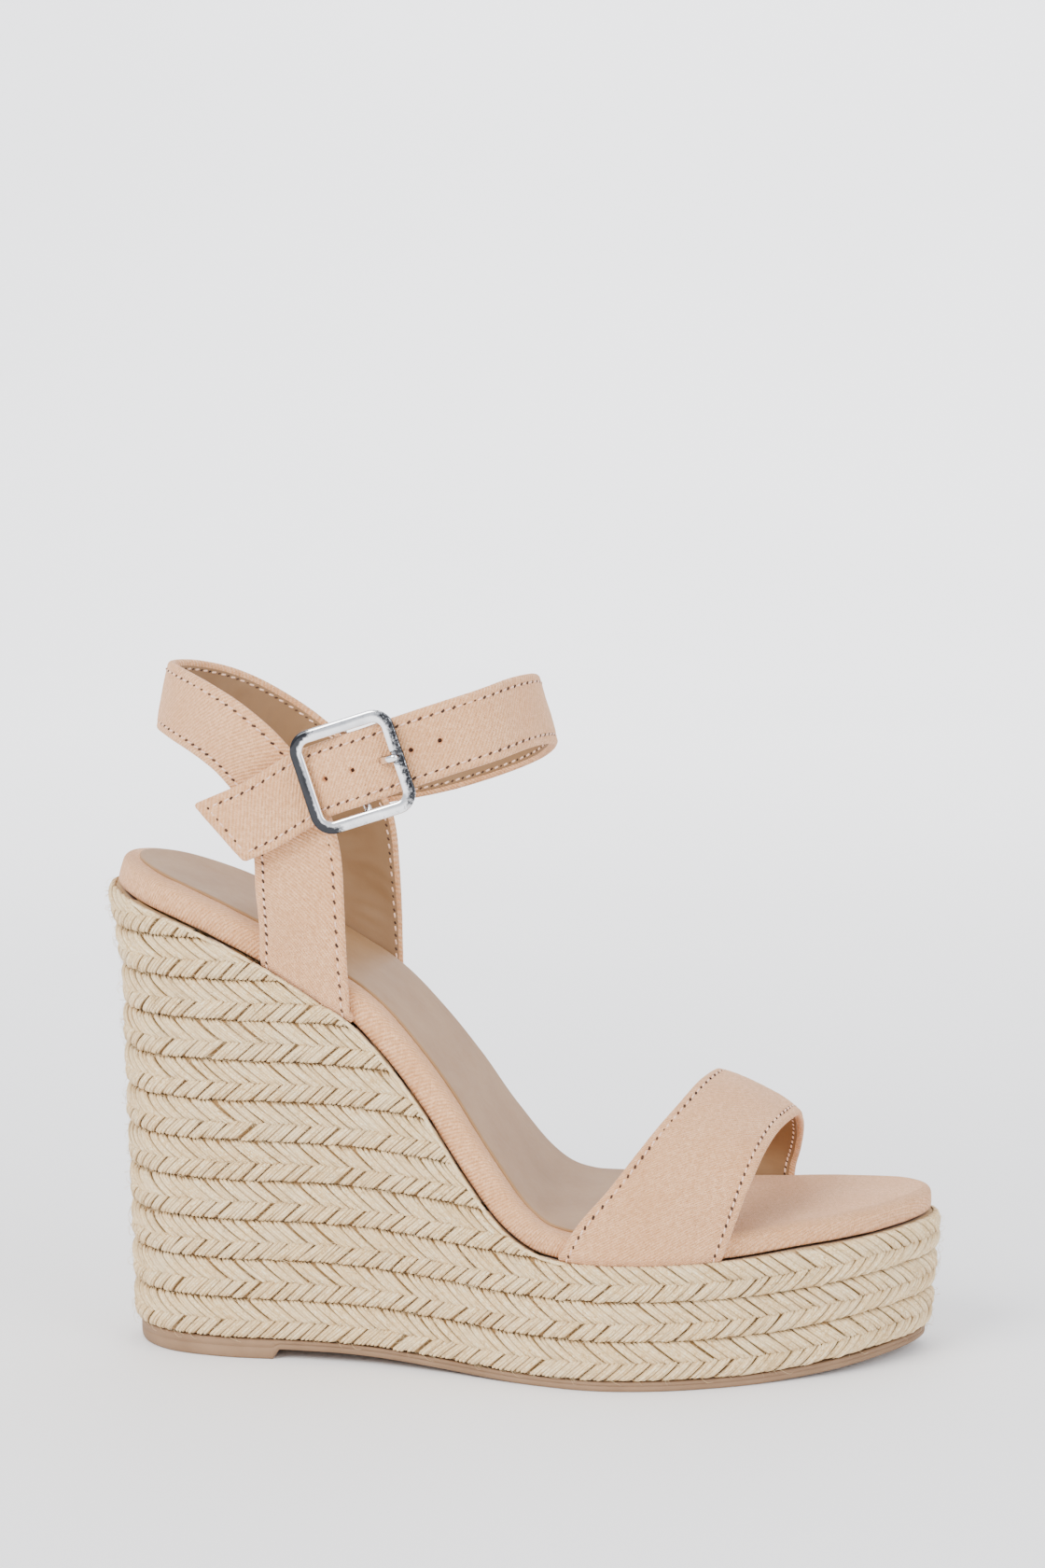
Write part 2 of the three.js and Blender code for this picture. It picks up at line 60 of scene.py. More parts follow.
# ---- camera ----
CAM_AZ, CAM_EL, CAM_DIST = math.radians(8), math.radians(8), 1100.0
CAM_TARGET = np.array([1.6, 0.0, 152.8])
MM_PER_PX, FRAME_PX = 0.247, 1680


def add_object(name, data):
    ob = bpy.data.objects.new(name, data)
    bpy.context.scene.collection.objects.link(ob)
    return ob


def aim(ob, location, direction):
    ob.location = location
    ob.rotation_mode = "QUATERNION"
    ob.rotation_quaternion = Vector(direction).to_track_quat("-Z", "Y")


def make_camera():
    data = bpy.data.cameras.new("camera")
    data.sensor_width = 36
    data.lens = CAM_DIST / MM_PER_PX * data.sensor_width / FRAME_PX
    cam = add_object("camera", data)
    back = np.array([math.sin(CAM_AZ) * math.cos(CAM_EL), -math.cos(CAM_AZ) * math.cos(CAM_EL),
                     math.sin(CAM_EL)])
    aim(cam, (CAM_TARGET + SHIFT + back * CAM_DIST) * MM, -back)
    data.clip_start, data.clip_end = 0.05, 20
    bpy.context.scene.camera = cam


make_camera()


# ---- small maths ----
def smooth(a, b, t):
    s = np.clip((np.asarray(t, float) - a) / (b - a), 0, 1)
    return s * s * (3 - 2 * s)


def mix(a, b, t):
    return a + (b - a) * t


def unit(v):
    return v / np.maximum(np.linalg.norm(v, axis=-1, keepdims=True), 1e-12)


def run_length(p):
    """Distance along a polyline at each of its points."""
    return np.concatenate([[0], np.cumsum(np.linalg.norm(np.diff(p, axis=0), axis=1))])


class Curve:
    """Centripetal Catmull-Rom curve through points, t from 0 to 1."""

    def __init__(self, points, closed=False):
        self.p, self.closed = np.array(points, float), closed

    def __call__(self, t):
        p, n = self.p, len(self.p)
        t = np.asarray(t, float)
        if self.closed:
            q = (t % 1.0) * n
            i = np.floor(q).astype(int) % n
            f = q - np.floor(q)
            p0, p1, p2, p3 = (p[(i + k) % n] for k in (-1, 0, 1, 2))
        else:
            q = np.clip(t, 0, 1) * (n - 1)
            i = np.minimum(np.floor(q).astype(int), n - 2)
            f = q - i
            ends = np.vstack([2 * p[0] - p[1], p, 2 * p[-1] - p[-2]])
            p0, p1, p2, p3 = (ends[i + k] for k in (0, 1, 2, 3))
        d0, d1, d2 = (np.maximum(np.sum((b - a) ** 2, -1) ** 0.25, 1e-4)[..., None]
                      for a, b in ((p0, p1), (p1, p2), (p2, p3)))
        t1 = ((p1 - p0) / d0 - (p2 - p0) / (d0 + d1) + (p2 - p1) / d1) * d1
        t2 = ((p2 - p1) / d1 - (p3 - p1) / (d1 + d2) + (p3 - p2) / d2) * d1
        f = f[..., None]
        return (p1 + t1 * f + (3 * (p2 - p1) - 2 * t1 - t2) * f ** 2
                + (2 * (p1 - p2) + t1 + t2) * f ** 3)

    def spaced(self, count):
        """Arc-length even t values and the total length."""
        t = np.linspace(0, 1, 3000)
        s = run_length(self(t))
        return np.interp(np.linspace(0, s[-1], count), s, t), s[-1]


def ripple(x, y, scale, seed):
    """Smooth wandering value in -1..1 over the plane, feature size `scale`."""
    r = np.random.default_rng(seed)
    out = 0
    for _ in range(7):
        a, f, ph = r.uniform(0, 2 * np.pi), r.uniform(0.6, 1.7) / scale, r.uniform(0, 2 * np.pi)
        out = out + np.sin(2 * np.pi * f * (x * np.cos(a) + y * np.sin(a)) + ph)
    return out / 4.0


# ---- the last: wedge top profile and plan outline ----
TOP = Curve([
    [-116, 128.2], [-95, 121.6], [-80, 116], [-65, 108.6], [-50, 99.6], [-40, 93], [-30, 82.5],
    [-20, 69.6], [-10, 54.8], [0, 42.6], [8, 36.8], [16, 34.5], [28, 33.9], [58, 34.1], [80, 35.8],
    [116, 37.8]])
TOP_XZ = TOP(np.linspace(0, 1, 1200))
TOP_DIR, TOP_RUN = unit(np.gradient(TOP_XZ, axis=0)), run_length(TOP_XZ)
PLAN = Curve([
    [-104.4, 0], [-101.3, -11], [-92.6, -19.8], [-77, -24.6], [-55, -25.5], [-35, -27.5], [-15, -32.5],
    [5, -39], [25, -43.3], [42, -41.5], [58, -36], [75, -27.2], [92, -16.5], [103.8, -4], [110.6, 7.3],
    [112.8, 17], [109.6, 25], [100.5, 31.2], [86, 34.5], [70, 37], [45, 40.5], [20, 40.5], [0, 37],
    [-20, 31.5], [-40, 26.5], [-60, 24], [-79, 22.7], [-93.6, 17.8], [-101.6, 9.5]], closed=True)
PLAN_T, PLAN_LEN = PLAN.spaced(2001)
PLAN_XY = PLAN(PLAN_T)
_tan = unit(np.gradient(PLAN_XY, axis=0))
PLAN_OUT = np.stack([_tan[:, 1], -_tan[:, 0]], 1)       # outward normal


def top_z(x):
    return np.interp(x, TOP_XZ[:, 0], TOP_XZ[:, 1])


def top_normal(x):
    dx, dz = (np.interp(x, TOP_XZ[:, 0], TOP_DIR[:, k]) for k in (0, 1))
    n = unit(np.stack([-dz, dx], -1))
    return n[..., 0], n[..., 1]


def sole_bottom(x):
    return (SOLE_LIFT * (1 - smooth(-50, FLAT_FROM, x))
            + TOE_SPRING * smooth(FLAT_TO, 112, x) ** 1.2)


def row_z(x, level):
    """Height of a braid level: 0 is the bottom of the first course, 11 the top of the last."""
    return sole_bottom(x) + SOLE_T + 0.3 + level * mix(ROW_H, ROW_H_TOE, smooth(-60, 20, x))


def lean(x, z):
    """How far a plan point moves along x when carried up to height z, and its k."""
    k = np.clip((z - 6) / 120, 0, 1.05)
    tuck = TOE_TUCK * (1 - np.clip(z / 34, 0, 1))
    back = BACK_LEAN * k + HEEL_FLICK * smooth(98, 127, z)
    return -back * smooth(-40, -95, x) - tuck * smooth(60, 112, x), k


def carried(x, y, z):
    """A plan point carried up the leaning, flaring heel to height z."""
    dx, k = lean(x, z)
    return x + dx, y * (1 + SIDE_FLARE * k * smooth(-5, -60, x))


def plan_at(s, inset):
    """Plan point a distance s (mm) round the outline, moved inwards; returns x, y."""
    u = (np.asarray(s, float) / PLAN_LEN % 1.0) * 2000
    cols = [np.interp(u, np.arange(2001), c) for c in
            (PLAN_XY[:, 0], PLAN_XY[:, 1], PLAN_OUT[:, 0], PLAN_OUT[:, 1])]
    return cols[0] - cols[2] * inset, cols[1] - cols[3] * inset


_outlines = {}


def half_outline(side, inset):
    """The lateral (-1) or medial (+1) half of the outline, sorted by x."""
    if (side, inset) not in _outlines:
        x, y = plan_at(np.linspace(0, PLAN_LEN, 1600), inset)
        a, b = np.argmin(x), np.argmax(x)
        a, b = (a, b) if side < 0 else (b, a)
        idx = np.arange(a, b + 1) if a < b else np.r_[a:len(x), 0:b + 1]
        o = np.argsort(x[idx])
        _outlines[side, inset] = (x[idx][o], y[idx][o])
    return _outlines[side, inset]


def side_y(x, z, side, inset=0.0):
    """Lateral (-1) or medial (+1) y of the outline at x and height z."""
    x0 = x
    for _ in range(12):
        dx, k = lean(x0, z)
        x0 = x - dx
    y0 = np.interp(x0, *half_outline(side, inset))
    return y0 * (1 + SIDE_FLARE * k * smooth(-5, -60, x0))


# ---- mesh making ----
def facing_out(co, quads):
    """Turns all faces over if the closed mesh came out inside-out."""
    c = co - co.mean(0)
    a, b, d, e = (c[quads[:, k]] for k in range(4))
    volume = np.sum(a * np.cross(b, d)) + np.sum(a * np.cross(d, e))
    return quads[:, ::-1] if volume < 0 else quads


def new_mesh(name, verts, quads, material, body, attributes=None):
    """A mesh object from points in drawing millimetres, riding on a CAD body."""
    me = bpy.data.meshes.new(name)
    co = (np.asarray(verts, float).reshape(-1, 3) + SHIFT) * MM
    quads = facing_out(co, np.asarray(quads, int))
    me.vertices.add(len(co))
    me.vertices.foreach_set("co", co.astype(np.float32).ravel())
    me.loops.add(quads.size)
    me.loops.foreach_set("vertex_index", quads.astype(np.int32).ravel())
    me.polygons.add(len(quads))
    me.polygons.foreach_set("loop_start", np.arange(0, quads.size, 4, dtype=np.int32))
    me.polygons.foreach_set("loop_total", np.full(len(quads), 4, np.int32))
    me.update(calc_edges=True)
    me.validate()
    me.polygons.foreach_set("use_smooth", np.full(len(me.polygons), True))
    for key, values in (attributes or {}).items():
        values = np.asarray(values, np.float32)
        kind, field = ("FLOAT_VECTOR", "vector") if values.ndim > 1 else ("FLOAT", "value")
        me.attributes.new(key, kind, "POINT").data.foreach_set(field, values.ravel())
    me.materials.append(material)
    ob = add_object(name, me)
    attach(ob, body)
    return ob


def grid_quads(n, m, close_n=False, close_m=False):
    """Quads of an n by m vertex grid, optionally closed along either direction."""
    i = np.arange(n if close_n else n - 1)[:, None]
    j = np.arange(m if close_m else m - 1)[None, :]
    a, b = i * m + j, i * m + (j + 1) % m
    c, d = ((i + 1) % n) * m + j, ((i + 1) % n) * m + (j + 1) % m
    return np.stack([a, c, d, b], -1).reshape(-1, 4)


class Soup:
    """Collects many small grids into one mesh."""

    def __init__(self):
        self.v, self.q, self.attr, self.n = [], [], {}, 0

    def tubes(self, paths, side, out, ra, rb, sides, **attr):
        """paths (k, m, 3): k flat-oval tubes with tapered ends; side/out (k, m, 3) unit frames."""
        k, m, _ = paths.shape
        ang = np.linspace(0, 2 * np.pi, sides, endpoint=False)
        ca, sa = np.cos(ang)[None, None, :, None], np.sin(ang)[None, None, :, None]
        v = (paths[:, :, None] + side[:, :, None] * ca * ra[..., None, None]
             + out[:, :, None] * sa * rb[..., None, None])
        one = grid_quads(m, sides, close_m=True)
        q = (one[None] + (np.arange(k) * m * sides)[:, None, None]).reshape(-1, 4)
        values = {key: np.reshape(a, np.shape(a) + (1,) * (3 - np.ndim(a))) for key, a in attr.items()}
        self._add(v, q, values | {"around": ang})

    def grid(self, v, close_n=False, close_m=False, **attr):
        self._add(v, grid_quads(*v.shape[:2], close_n, close_m), attr | {"around": 0.0})

    def _add(self, v, quads, attr):
        self.v.append(v.reshape(-1, 3))
        self.q.append(quads + self.n)
        self.n += len(self.v[-1])
        for key, val in attr.items():
            self.attr.setdefault(key, []).append(np.broadcast_to(val, v.shape[:-1]).reshape(-1))

    def build(self, name, material, body, slot):
        attrs = {k: np.concatenate(a) for k, a in self.attr.items()}
        return new_mesh(name, np.concatenate(self.v), np.concatenate(self.q), material, body,
                        attrs)


# ---- materials ----
def srgb(r, g, b):
    """sRGB 0-255 to a linear colour."""
    c = np.array([r, g, b]) / 255
    return (*np.where(c <= 0.04045, c / 12.92, ((c + 0.055) / 1.055) ** 2.4), 1.0)


class Nodes:
    """Short way to write a node tree."""

    def __init__(self, name):
        self.mat = bpy.data.materials.new(name)
        self.mat.use_nodes = True
        self.t = self.mat.node_tree
        self.bsdf = self.t.nodes["Principled BSDF"]

    def node(self, kind, props=None, **inputs):
        n = self.t.nodes.new(kind)
        for k, v in (props or {}).items():
            setattr(n, k, v)
        for k, v in inputs.items():
            self.put(n, k, v)
        return n

    def put(self, n, key, v):
        key = int(key[1:]) if key[0] == "_" and key[1:].isdigit() else key.replace("_", " ")
        sock = n.inputs[key]
        if isinstance(v, bpy.types.NodeSocket):
            self.t.links.new(v, sock)
        else:
            sock.default_value = v

    def set(self, **inputs):
        for k, v in inputs.items():
            self.put(self.bsdf, k, v)

    def attr(self, name, vector=False):
        n = self.node("ShaderNodeAttribute", {"attribute_name": name})
        return n.outputs["Vector" if vector else "Fac"]

    def position(self):
        return self.node("ShaderNodeTexCoord").outputs["Object"]

    def noise(self, vector, scale, detail=3.0, rough=0.5):
        return self.node("ShaderNodeTexNoise", Vector=vector, Scale=scale, Detail=detail,
                         Roughness=rough).outputs["Fac"]

    def math(self, op, a, b=0.0, c=0.0):
        return self.node("ShaderNodeMath", {"operation": op}, _0=a, _1=b, _2=c).outputs[0]

    def mul(self, a, b):
        return self.math("MULTIPLY", a, b)

    def add(self, a, b):
        return self.math("ADD", a, b)

    def mask(self, fac, low, high, start, end):
        """Grey ramp from `start` at `low` to `end` at `high`."""
        return self.ramp(fac, [(low, (start,) * 3 + (1,)), (high, (end,) * 3 + (1,))])

    def stretch(self, vector, sx, sy, sz, rz=0.0):
        return self.node("ShaderNodeMapping", Vector=vector, Scale=(sx, sy, sz),
                         Rotation=(0, 0, rz)).outputs[0]

    def ramp(self, fac, stops):
        n = self.node("ShaderNodeValToRGB", Fac=fac)
        e = n.color_ramp.elements
        while len(e) < len(stops):
            e.new(0.5)
        for el, (pos, col) in zip(e, stops):
            el.position, el.color = pos, col
        return n.outputs["Color"]

    def blend(self, fac, a, b, mode="MIX"):
        n = self.node("ShaderNodeMix", {"data_type": "RGBA", "blend_type": mode}, _0=fac, _6=a, _7=b)
        return n.outputs[2]

    def bump(self, height, distance, strength):
        n = self.node("ShaderNodeBump", Height=height, Distance=distance, Strength=strength)
        return n.outputs["Normal"]


def jute_material():
    m = Nodes("jute")
    along, around, tint, deep = m.attr("along"), m.attr("around"), m.attr("tint"), m.attr("deep")
    lane = m.node("ShaderNodeCombineXYZ", X=m.mul(along, 0.35), Z=m.mul(tint, 40.0),
                  Y=m.add(m.mul(m.math("SINE", around), 2.2), m.mul(along, 0.55))).outputs[0]
    fibre = m.noise(lane, 3.2, 4.0, 0.65)
    patch = m.noise(m.position(), 130.0, 3.0)
    base = m.ramp(fibre, [(0.32, srgb(172, 134, 84)), (0.48, srgb(244, 209, 152)),
                          (0.64, srgb(255, 243, 206))])
    base = m.blend(m.mul(tint, 0.5), base, srgb(216, 182, 130))
    base = m.blend(m.mask(patch, 0.45, 0.75, 0, 0.5), base, srgb(238, 218, 178))
    fleck = m.noise(m.position(), 420.0, 2.0)
    base = m.blend(m.mask(fleck, 0.72, 0.8, 0, 0.6), base, srgb(150, 116, 74))
    # Painted shade, multiplied in: yarn ends where they dive under, the outer side of the outer yarns,
    # the backing; some fuzz fibres also get a darker tone
    base = m.blend(deep, base, srgb(168, 140, 102), "MULTIPLY")
    m.set(Base_Color=base, Roughness=0.88, Normal=m.bump(fibre, 0.0004, 0.7), Sheen_Weight=0.15)
    return m.mat


def suede_material(name="microsuede", base=(228, 166, 113)):
    m = Nodes(name)
    cloth = m.attr("cloth", True)
    r, g, b = base

    def ribs(scale, wander, turn):
        vector = m.stretch(cloth, 1, 1, 1, math.radians(turn))
        return m.node("ShaderNodeTexWave", {"bands_direction": "X"}, Scale=scale,
                      Distortion=wander, Detail=2.0, Vector=vector).outputs["Fac"]

    rib, cross = ribs(0.36, 1.6, 38), ribs(0.52, 2.5, -47)
    weave = m.mul(rib, m.add(m.mul(cross, 0.6), 0.4))
    nap = m.noise(cloth, 1.6, 4.0, 0.85)
    drift = m.noise(cloth, 0.055, 3.0)
    fleck = m.noise(cloth, 0.75, 3.0, 0.75)
    col = m.ramp(nap, [(0.34, srgb(r - 44, g - 44, b - 42)), (0.5, srgb(r, g, b)),
                       (0.66, srgb(min(255, r + 22), g + 30, b + 38))])
    line = m.mask(weave, 0.1, 0.6, 0, 0.85)
    col = m.blend(line, col, srgb(min(255, r + 26), g + 38, b + 46))
    col = m.blend(m.mask(fleck, 0.42, 0.56, 0.45, 0), col, srgb(r - 30, g - 32, b - 32))
    col = m.blend(m.mask(drift, 0.4, 0.7, 0, 0.4), col, srgb(r - 16, g - 19, b - 20))
    height = m.add(m.mul(weave, 0.8), m.mul(nap, 0.9))
    m.set(Base_Color=col, Roughness=0.92, Normal=m.bump(height, 0.0004, 0.85))
    m.set(Sheen_Weight=0.2, Sheen_Roughness=0.45)
    return m.mat


def lining_material(name, base, gloss, coat, specular=0.25):
    m = Nodes(name)
    cloth = m.attr("cloth", True)
    r, g, b = base
    pores = m.node("ShaderNodeTexVoronoi", {"feature": "DISTANCE_TO_EDGE"}, Vector=cloth,
                   Scale=1.3).outputs["Distance"]
    cloud = m.noise(cloth, 0.07, 4.0)
    col = m.ramp(cloud, [(0.35, srgb(r - 4, g - 5, b - 5)), (0.65, srgb(r + 4, g + 4, b + 4))])
    rough = m.add(m.mul(m.noise(cloth, 0.5, 3.0), 0.16), gloss)
    m.set(Base_Color=col, Roughness=rough, Normal=m.bump(pores, 0.00006, 0.35))
    m.set(Specular_IOR_Level=specular, Coat_Weight=coat, Coat_Roughness=0.2)
    return m.mat


def rubber_material():
    m = Nodes("rubber")
    p = m.position()
    grain = m.noise(p, 2600.0, 3.0)
    cloud = m.noise(p, 60.0, 3.0)
    col = m.ramp(cloud, [(0.35, srgb(128, 99, 72)), (0.7, srgb(144, 114, 86))])
    m.set(Base_Color=col, Roughness=0.72, Normal=m.bump(grain, 0.0001, 0.5))
    return m.mat


def plain_noise_material(name, dark, light, scale, rough, metallic=0.0, bump=0.00005):
    m = Nodes(name)
    n = m.noise(m.position(), scale, 4.0)
    m.set(Base_Color=m.ramp(n, [(0.35, srgb(*dark)), (0.65, srgb(*light))]), Metallic=metallic,
          Roughness=rough, Normal=m.bump(n, bump, 0.4))
    return m.mat


def nickel_material():
    m = Nodes("nickel")
    p = m.position()
    smear = m.noise(p, 190.0, 4.0)
    speck = m.noise(p, 1500.0, 4.0, 0.7)
    scratch = m.noise(m.stretch(p, 900, 900, 90), 1.0, 2.0)
    rough = m.add(m.mul(smear, 0.14), 0.05)
    col = m.ramp(smear, [(0.3, srgb(222, 223, 226)), (0.7, srgb(252, 252, 253))])
    # Painted dark reflections: the edge attribute darkens the outer sides of the buckle's bars and the
    # prong's sides, speckled.
    edge = m.add(m.mul(m.attr("edge"), 0.9), m.mul(speck, 0.8))
    dark_reflection = m.mask(edge, 0.74, 1.0, 0, 1)
    col = m.blend(dark_reflection, col, srgb(58, 59, 62))
    m.set(Base_Color=col, Metallic=1.0, Roughness=rough, Normal=m.bump(scratch, 0.00001, 0.25))
    return m.mat


JUTE, SUEDE = jute_material(), suede_material()
# A darker copy of the microsuede for the buckle tab under the frame: painted shade.
SHADED_SUEDE = suede_material("microsuede_painted_shade", (204, 148, 106))
LINING = lining_material("strap_lining", (138, 106, 74), 0.45, 0.08)
SOCK = lining_material("sock_liner", (156, 120, 84), 0.36, 0.0, 0.07)
RUBBER, NICKEL = rubber_material(), nickel_material()
THREAD = plain_noise_material("thread", (226, 176, 146), (246, 212, 188), 2200.0, 0.7)
# Dark colour for the needle holes and the punched holes' bottoms: painted shade.
HOLE = plain_noise_material("needle_hole_shade", (52, 32, 22), (80, 54, 38), 900.0, 0.95)
CORK = plain_noise_material("moulded_cork", (130, 98, 62), (178, 142, 100), 420.0, 0.9, 0.0, 0.0004)
BOARD = plain_noise_material("fibre_board", (110, 84, 58), (142, 112, 80), 1500.0, 0.9)
FOAM = plain_noise_material("foam", (216, 208, 184), (236, 230, 210), 1900.0, 0.95, 0.0, 0.0003)
STEEL = plain_noise_material("spring_steel", (120, 122, 126), (150, 152, 156), 300.0, 0.35, 1.0)


# ---- jute braid ----
LEAF_PITCH, YARNS = 3.6, 3
LEAVES = ((1, 7.8, -0.07), (-1, 6.0, 0.02))     # upper and lower leaves: side, run mm, end height


def row_point(s, row, h, depth):
    """Point on a course: s mm round, h from -0.5 (bottom) to 0.5 (top), depth mm inwards."""
    s, h, depth = np.broadcast_arrays(s, h, depth)
    bulge = 0.8 * np.abs(2 * h) ** 3
    x0, y0 = plan_at(s, 0.0)
    z = row_z(x0, row + 0.5 + h)
    x1, y1 = plan_at(s, depth + bulge)
    x, y = carried(x0, y0, z)
    return np.stack([x + (x1 - x0), y + (y1 - y0), z], -1)


def under_footbed(p, clear=0.5):
    """Height left below the footbed at each point; negative is above it."""
    return top_z(p[..., 0]) - clear - p[..., 2]


def braid_row(row):
    soup = Soup()
    count = int(round(PLAN_LEN / LEAF_PITCH))
    pitch = PLAN_LEN / count
    m, sides = 9, 6
    t = np.linspace(0, 1, m)[None, :]
    turn = np.cos(np.linspace(0, 2 * np.pi, sides, endpoint=False))
    for half, run, end in LEAVES:
        leaf = rng.normal(0, 1, (4, count))
        for yarn in range(YARNS):
            k = np.arange(count)
            jitter = rng.normal(0, 1, (5, count))
            lane = (yarn - (YARNS - 1) / 2) * 0.285
            s0 = (k + lane + (0.5 if half < 0 else 0)) * pitch + 0.07 * jitter[0] + 0.16 * leaf[0]
            # the outline runs toe-wards on the lateral side and heel-wards on the medial side
            s = s0[:, None] + (t - 0.5) * (run + 0.3 * leaf[1][:, None])
            h = mix(half * 0.5, end, t) + 0.005 * jitter[2][:, None] + 0.012 * leaf[2][:, None]
            dive = 0.6 * (1 - smooth(0.0, 0.16, t)) + 0.9 * smooth(0.84, 1.0, t)
            crown = -0.40 * np.sin(np.pi * t) - 0.20 * (yarn == 1)
            depth = 0.7 + dive + crown + 0.07 * jitter[3][:, None] + 0.10 * leaf[3][:, None] + 0 * s
            p = row_point(s, row, h, depth)
            keep = under_footbed(p).max(1) > 0.3
            p[..., 2] = np.minimum(p[..., 2], top_z(p[..., 0]) - 0.5)
            tint = (0.55 * leaf[3] + 0.6 * jitter[4])[keep]
            p, d, sk = p[keep], depth[keep], s[keep]
            if not len(p):
                continue
            along = unit(np.gradient(p, axis=1) + 1e-9)
            out = unit(row_point(sk, row, h[keep], d - 0.5) - row_point(sk, row, h[keep], d))
            side = unit(np.cross(along, out))
            out = np.cross(side, along)
            taper = np.clip(np.minimum(t, 1 - t) * 9 + 0.45, 0, 1)
            girth = (0.51 + 0.03 * rng.normal(0, 1, (len(p), 1))) * taper
            onward = row_point(sk + 0.5, row, h[keep], d) - row_point(sk, row, h[keep], d)
            facing = np.sign(np.sum(side * onward, -1))[..., None] * turn * np.sign(lane)
            # painted shade: darker where the yarn dives under at both ends and on each outer yarn's
            # side towards the next leaf
            deep = 0.30 * smooth(0.9, 1.0, t) + 0.5 * (1 - smooth(0.0, 0.1, t)) + 0 * d
            deep = np.clip(deep[..., None] + 0.75 * np.clip(facing, 0, 1) ** 2, 0, 1)
            soup.tubes(p, side, out, girth, girth * 0.9, sides,
                       along=t * run + k[keep][:, None] * 3.7 + yarn * 1.3,
                       tint=np.clip(0.5 + 0.36 * tint, 0, 1), deep=deep)
    add_backing(soup, row)
    add_fuzz(soup, row)
    ob = soup.build(f"jute_course_{row + 1:02d}", JUTE, "sole", "braid")
    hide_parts(f"braid_row_{row + 1:02d}")


def add_backing(soup, row):
    """Inner face of the course, dark with painted shade, so nothing shows between the yarns."""
    n = 260
    s = np.linspace(0, PLAN_LEN, n, endpoint=False)[:, None]
    hs = np.array([-0.49, -0.25, 0, 0.25, 0.49])[None, :]
    p, back = row_point(s, row, hs, 1.35), row_point(s, row, hs, 4.6)
    ring = np.concatenate([p, back[:, ::-1]], 1)
    ring[..., 2] = np.minimum(ring[..., 2], top_z(ring[..., 0]) - 0.7)
    low = ring[..., 2].min(1) + 0.05
    ring[..., 2] = np.maximum(ring[..., 2], low[:, None] - 0.05)
    open_part = under_footbed(row_point(s[:, 0], row, -0.45, 0.0)) > 0.4
    if open_part.all():
        soup.grid(ring, close_n=True, close_m=True, along=0.0, tint=0.6, deep=0.7)
        return
    start = np.flatnonzero(open_part & ~np.roll(open_part, 1))[0]
    order = (start + np.arange(open_part.sum())) % n
    soup.grid(ring[order], close_m=True, along=0.0, tint=0.6, deep=0.7)


def add_fuzz(soup, row, per_mm=3.2):
    """Loose fibres that stand off the braid."""
    k = int(PLAN_LEN * per_mm)
    s, h = rng.uniform(0, PLAN_LEN, k), rng.uniform(-0.5, 0.5, k)
    m = 5
    t = np.linspace(0, 1, m)[None, :]
    length, lean_to = rng.uniform(1.5, 6.5, (k, 1)), rng.uniform(-1, 1, (k, 1))
    rise = rng.uniform(0.2, 1.0, (k, 1)) ** 3 * 2.6
    curl = rng.normal(0, 0.06, (k, 1))
    ss = s[:, None] + t * length * np.cos(lean_to * 1.3)
    hh = h[:, None] + t * length * np.sin(lean_to * 1.3) / 11 + curl * t ** 2
    depth = 0.55 - rise * np.sin(np.pi * 0.75 * t)
    p = row_point(ss, row, np.clip(hh, -0.6, 0.6), depth)
    keep = under_footbed(p).min(1) > 0.3
    p = p[keep]
    if not len(p):
        return
    along = unit(np.gradient(p, axis=1))
    ref = unit(np.stack([-along[..., 1], along[..., 0], along[..., 2] * 0 + 0.3], -1))
    side = unit(np.cross(along, ref))
    g = np.full(p.shape[:2], 0.06) * (1 - 0.6 * t)
    # about three fibres in ten get a darker tone
    soup.tubes(p, side, np.cross(side, along), g, g, 3, along=t * 3 + 0 * g,
               tint=rng.uniform(0, 1, len(p)), deep=0.45 * (rng.random(len(p)) < 0.3))


for course in range(ROWS):
    braid_row(course)

# ---- cloth sheets ----
STEP = 0.6                       # mesh step of the straps
STITCH_PITCH, STITCH_INSET = 3.06, 2.4
THREAD_SIZE, PIT_SIZE = (1.8, 0.25, 0.8), (1.5, 0.3, 0.45)     # length, radius, flatness
END_THREAD_SIZE, END_PIT_SIZE = (1.9, 0.24, 0.8), (1.3, 0.36, 0.4)
TAIL_SLANT, SEAM_START = 6.0, 3.0       # the ankle strap's seams start clear of its slanted tail
FOOT_TUCK = 0.8                  # strap ends run this far below the footbed's edge


def on_flank(p, pull, side):
    """Pulls strap points onto the flank of the wedge by the share `pull`."""
    y = side_y(p[..., 0], top_z(p[..., 0]), side)
    p[..., 1] = mix(p[..., 1], y, pull)
    return p


def above_foot(p):
    return p[..., 2] - top_z(p[..., 0])


def tuck(p, side):
    """The strap's foot curls in under the rim of the footbed."""
    p[..., 1] -= side * 1.7 * (1 - smooth(-FOOT_TUCK, 2.6, above_foot(p)))
    return p


TOE_REAR = Curve([
    [14.4, -42, 30.7], [20.9, -42.5, 43], [30, -38.5, 54], [37, -31.5, 63], [44, -22, 71],
    [50, -8, 76.5], [53, 6, 76.5], [53, 20, 70], [48.5, 32, 59], [42, 40, 46], [37, 41.5, 29.9]])
TOE_FRONT = Curve([
    [57.5, -37, 30.1], [62, -36.5, 43], [65, -33, 52], [68, -26, 59.5], [71, -15, 64], [74.5, 0, 65.5],
    [76, 13, 63.5], [75.5, 25, 57], [74, 32.5, 49], [72.5, 36.5, 43], [71.5, 37.5, 31.0]])


def toe_strap(v, u):
    a, b = TOE_REAR(v), TOE_FRONT(v)
    p = a + (b - a) * u[..., None]
    p[..., 2] += 4 * u * (1 - u) * 1.6 * np.sin(np.pi * v)
    side = np.where(v < 0.5, -1, 1)
    pull = 1 - smooth(5, 30, above_foot(p) + 4)
    for s in (-1, 1):
        m = side == s
        p[m] = tuck(on_flank(p[m], pull[m], s), s)
    return p


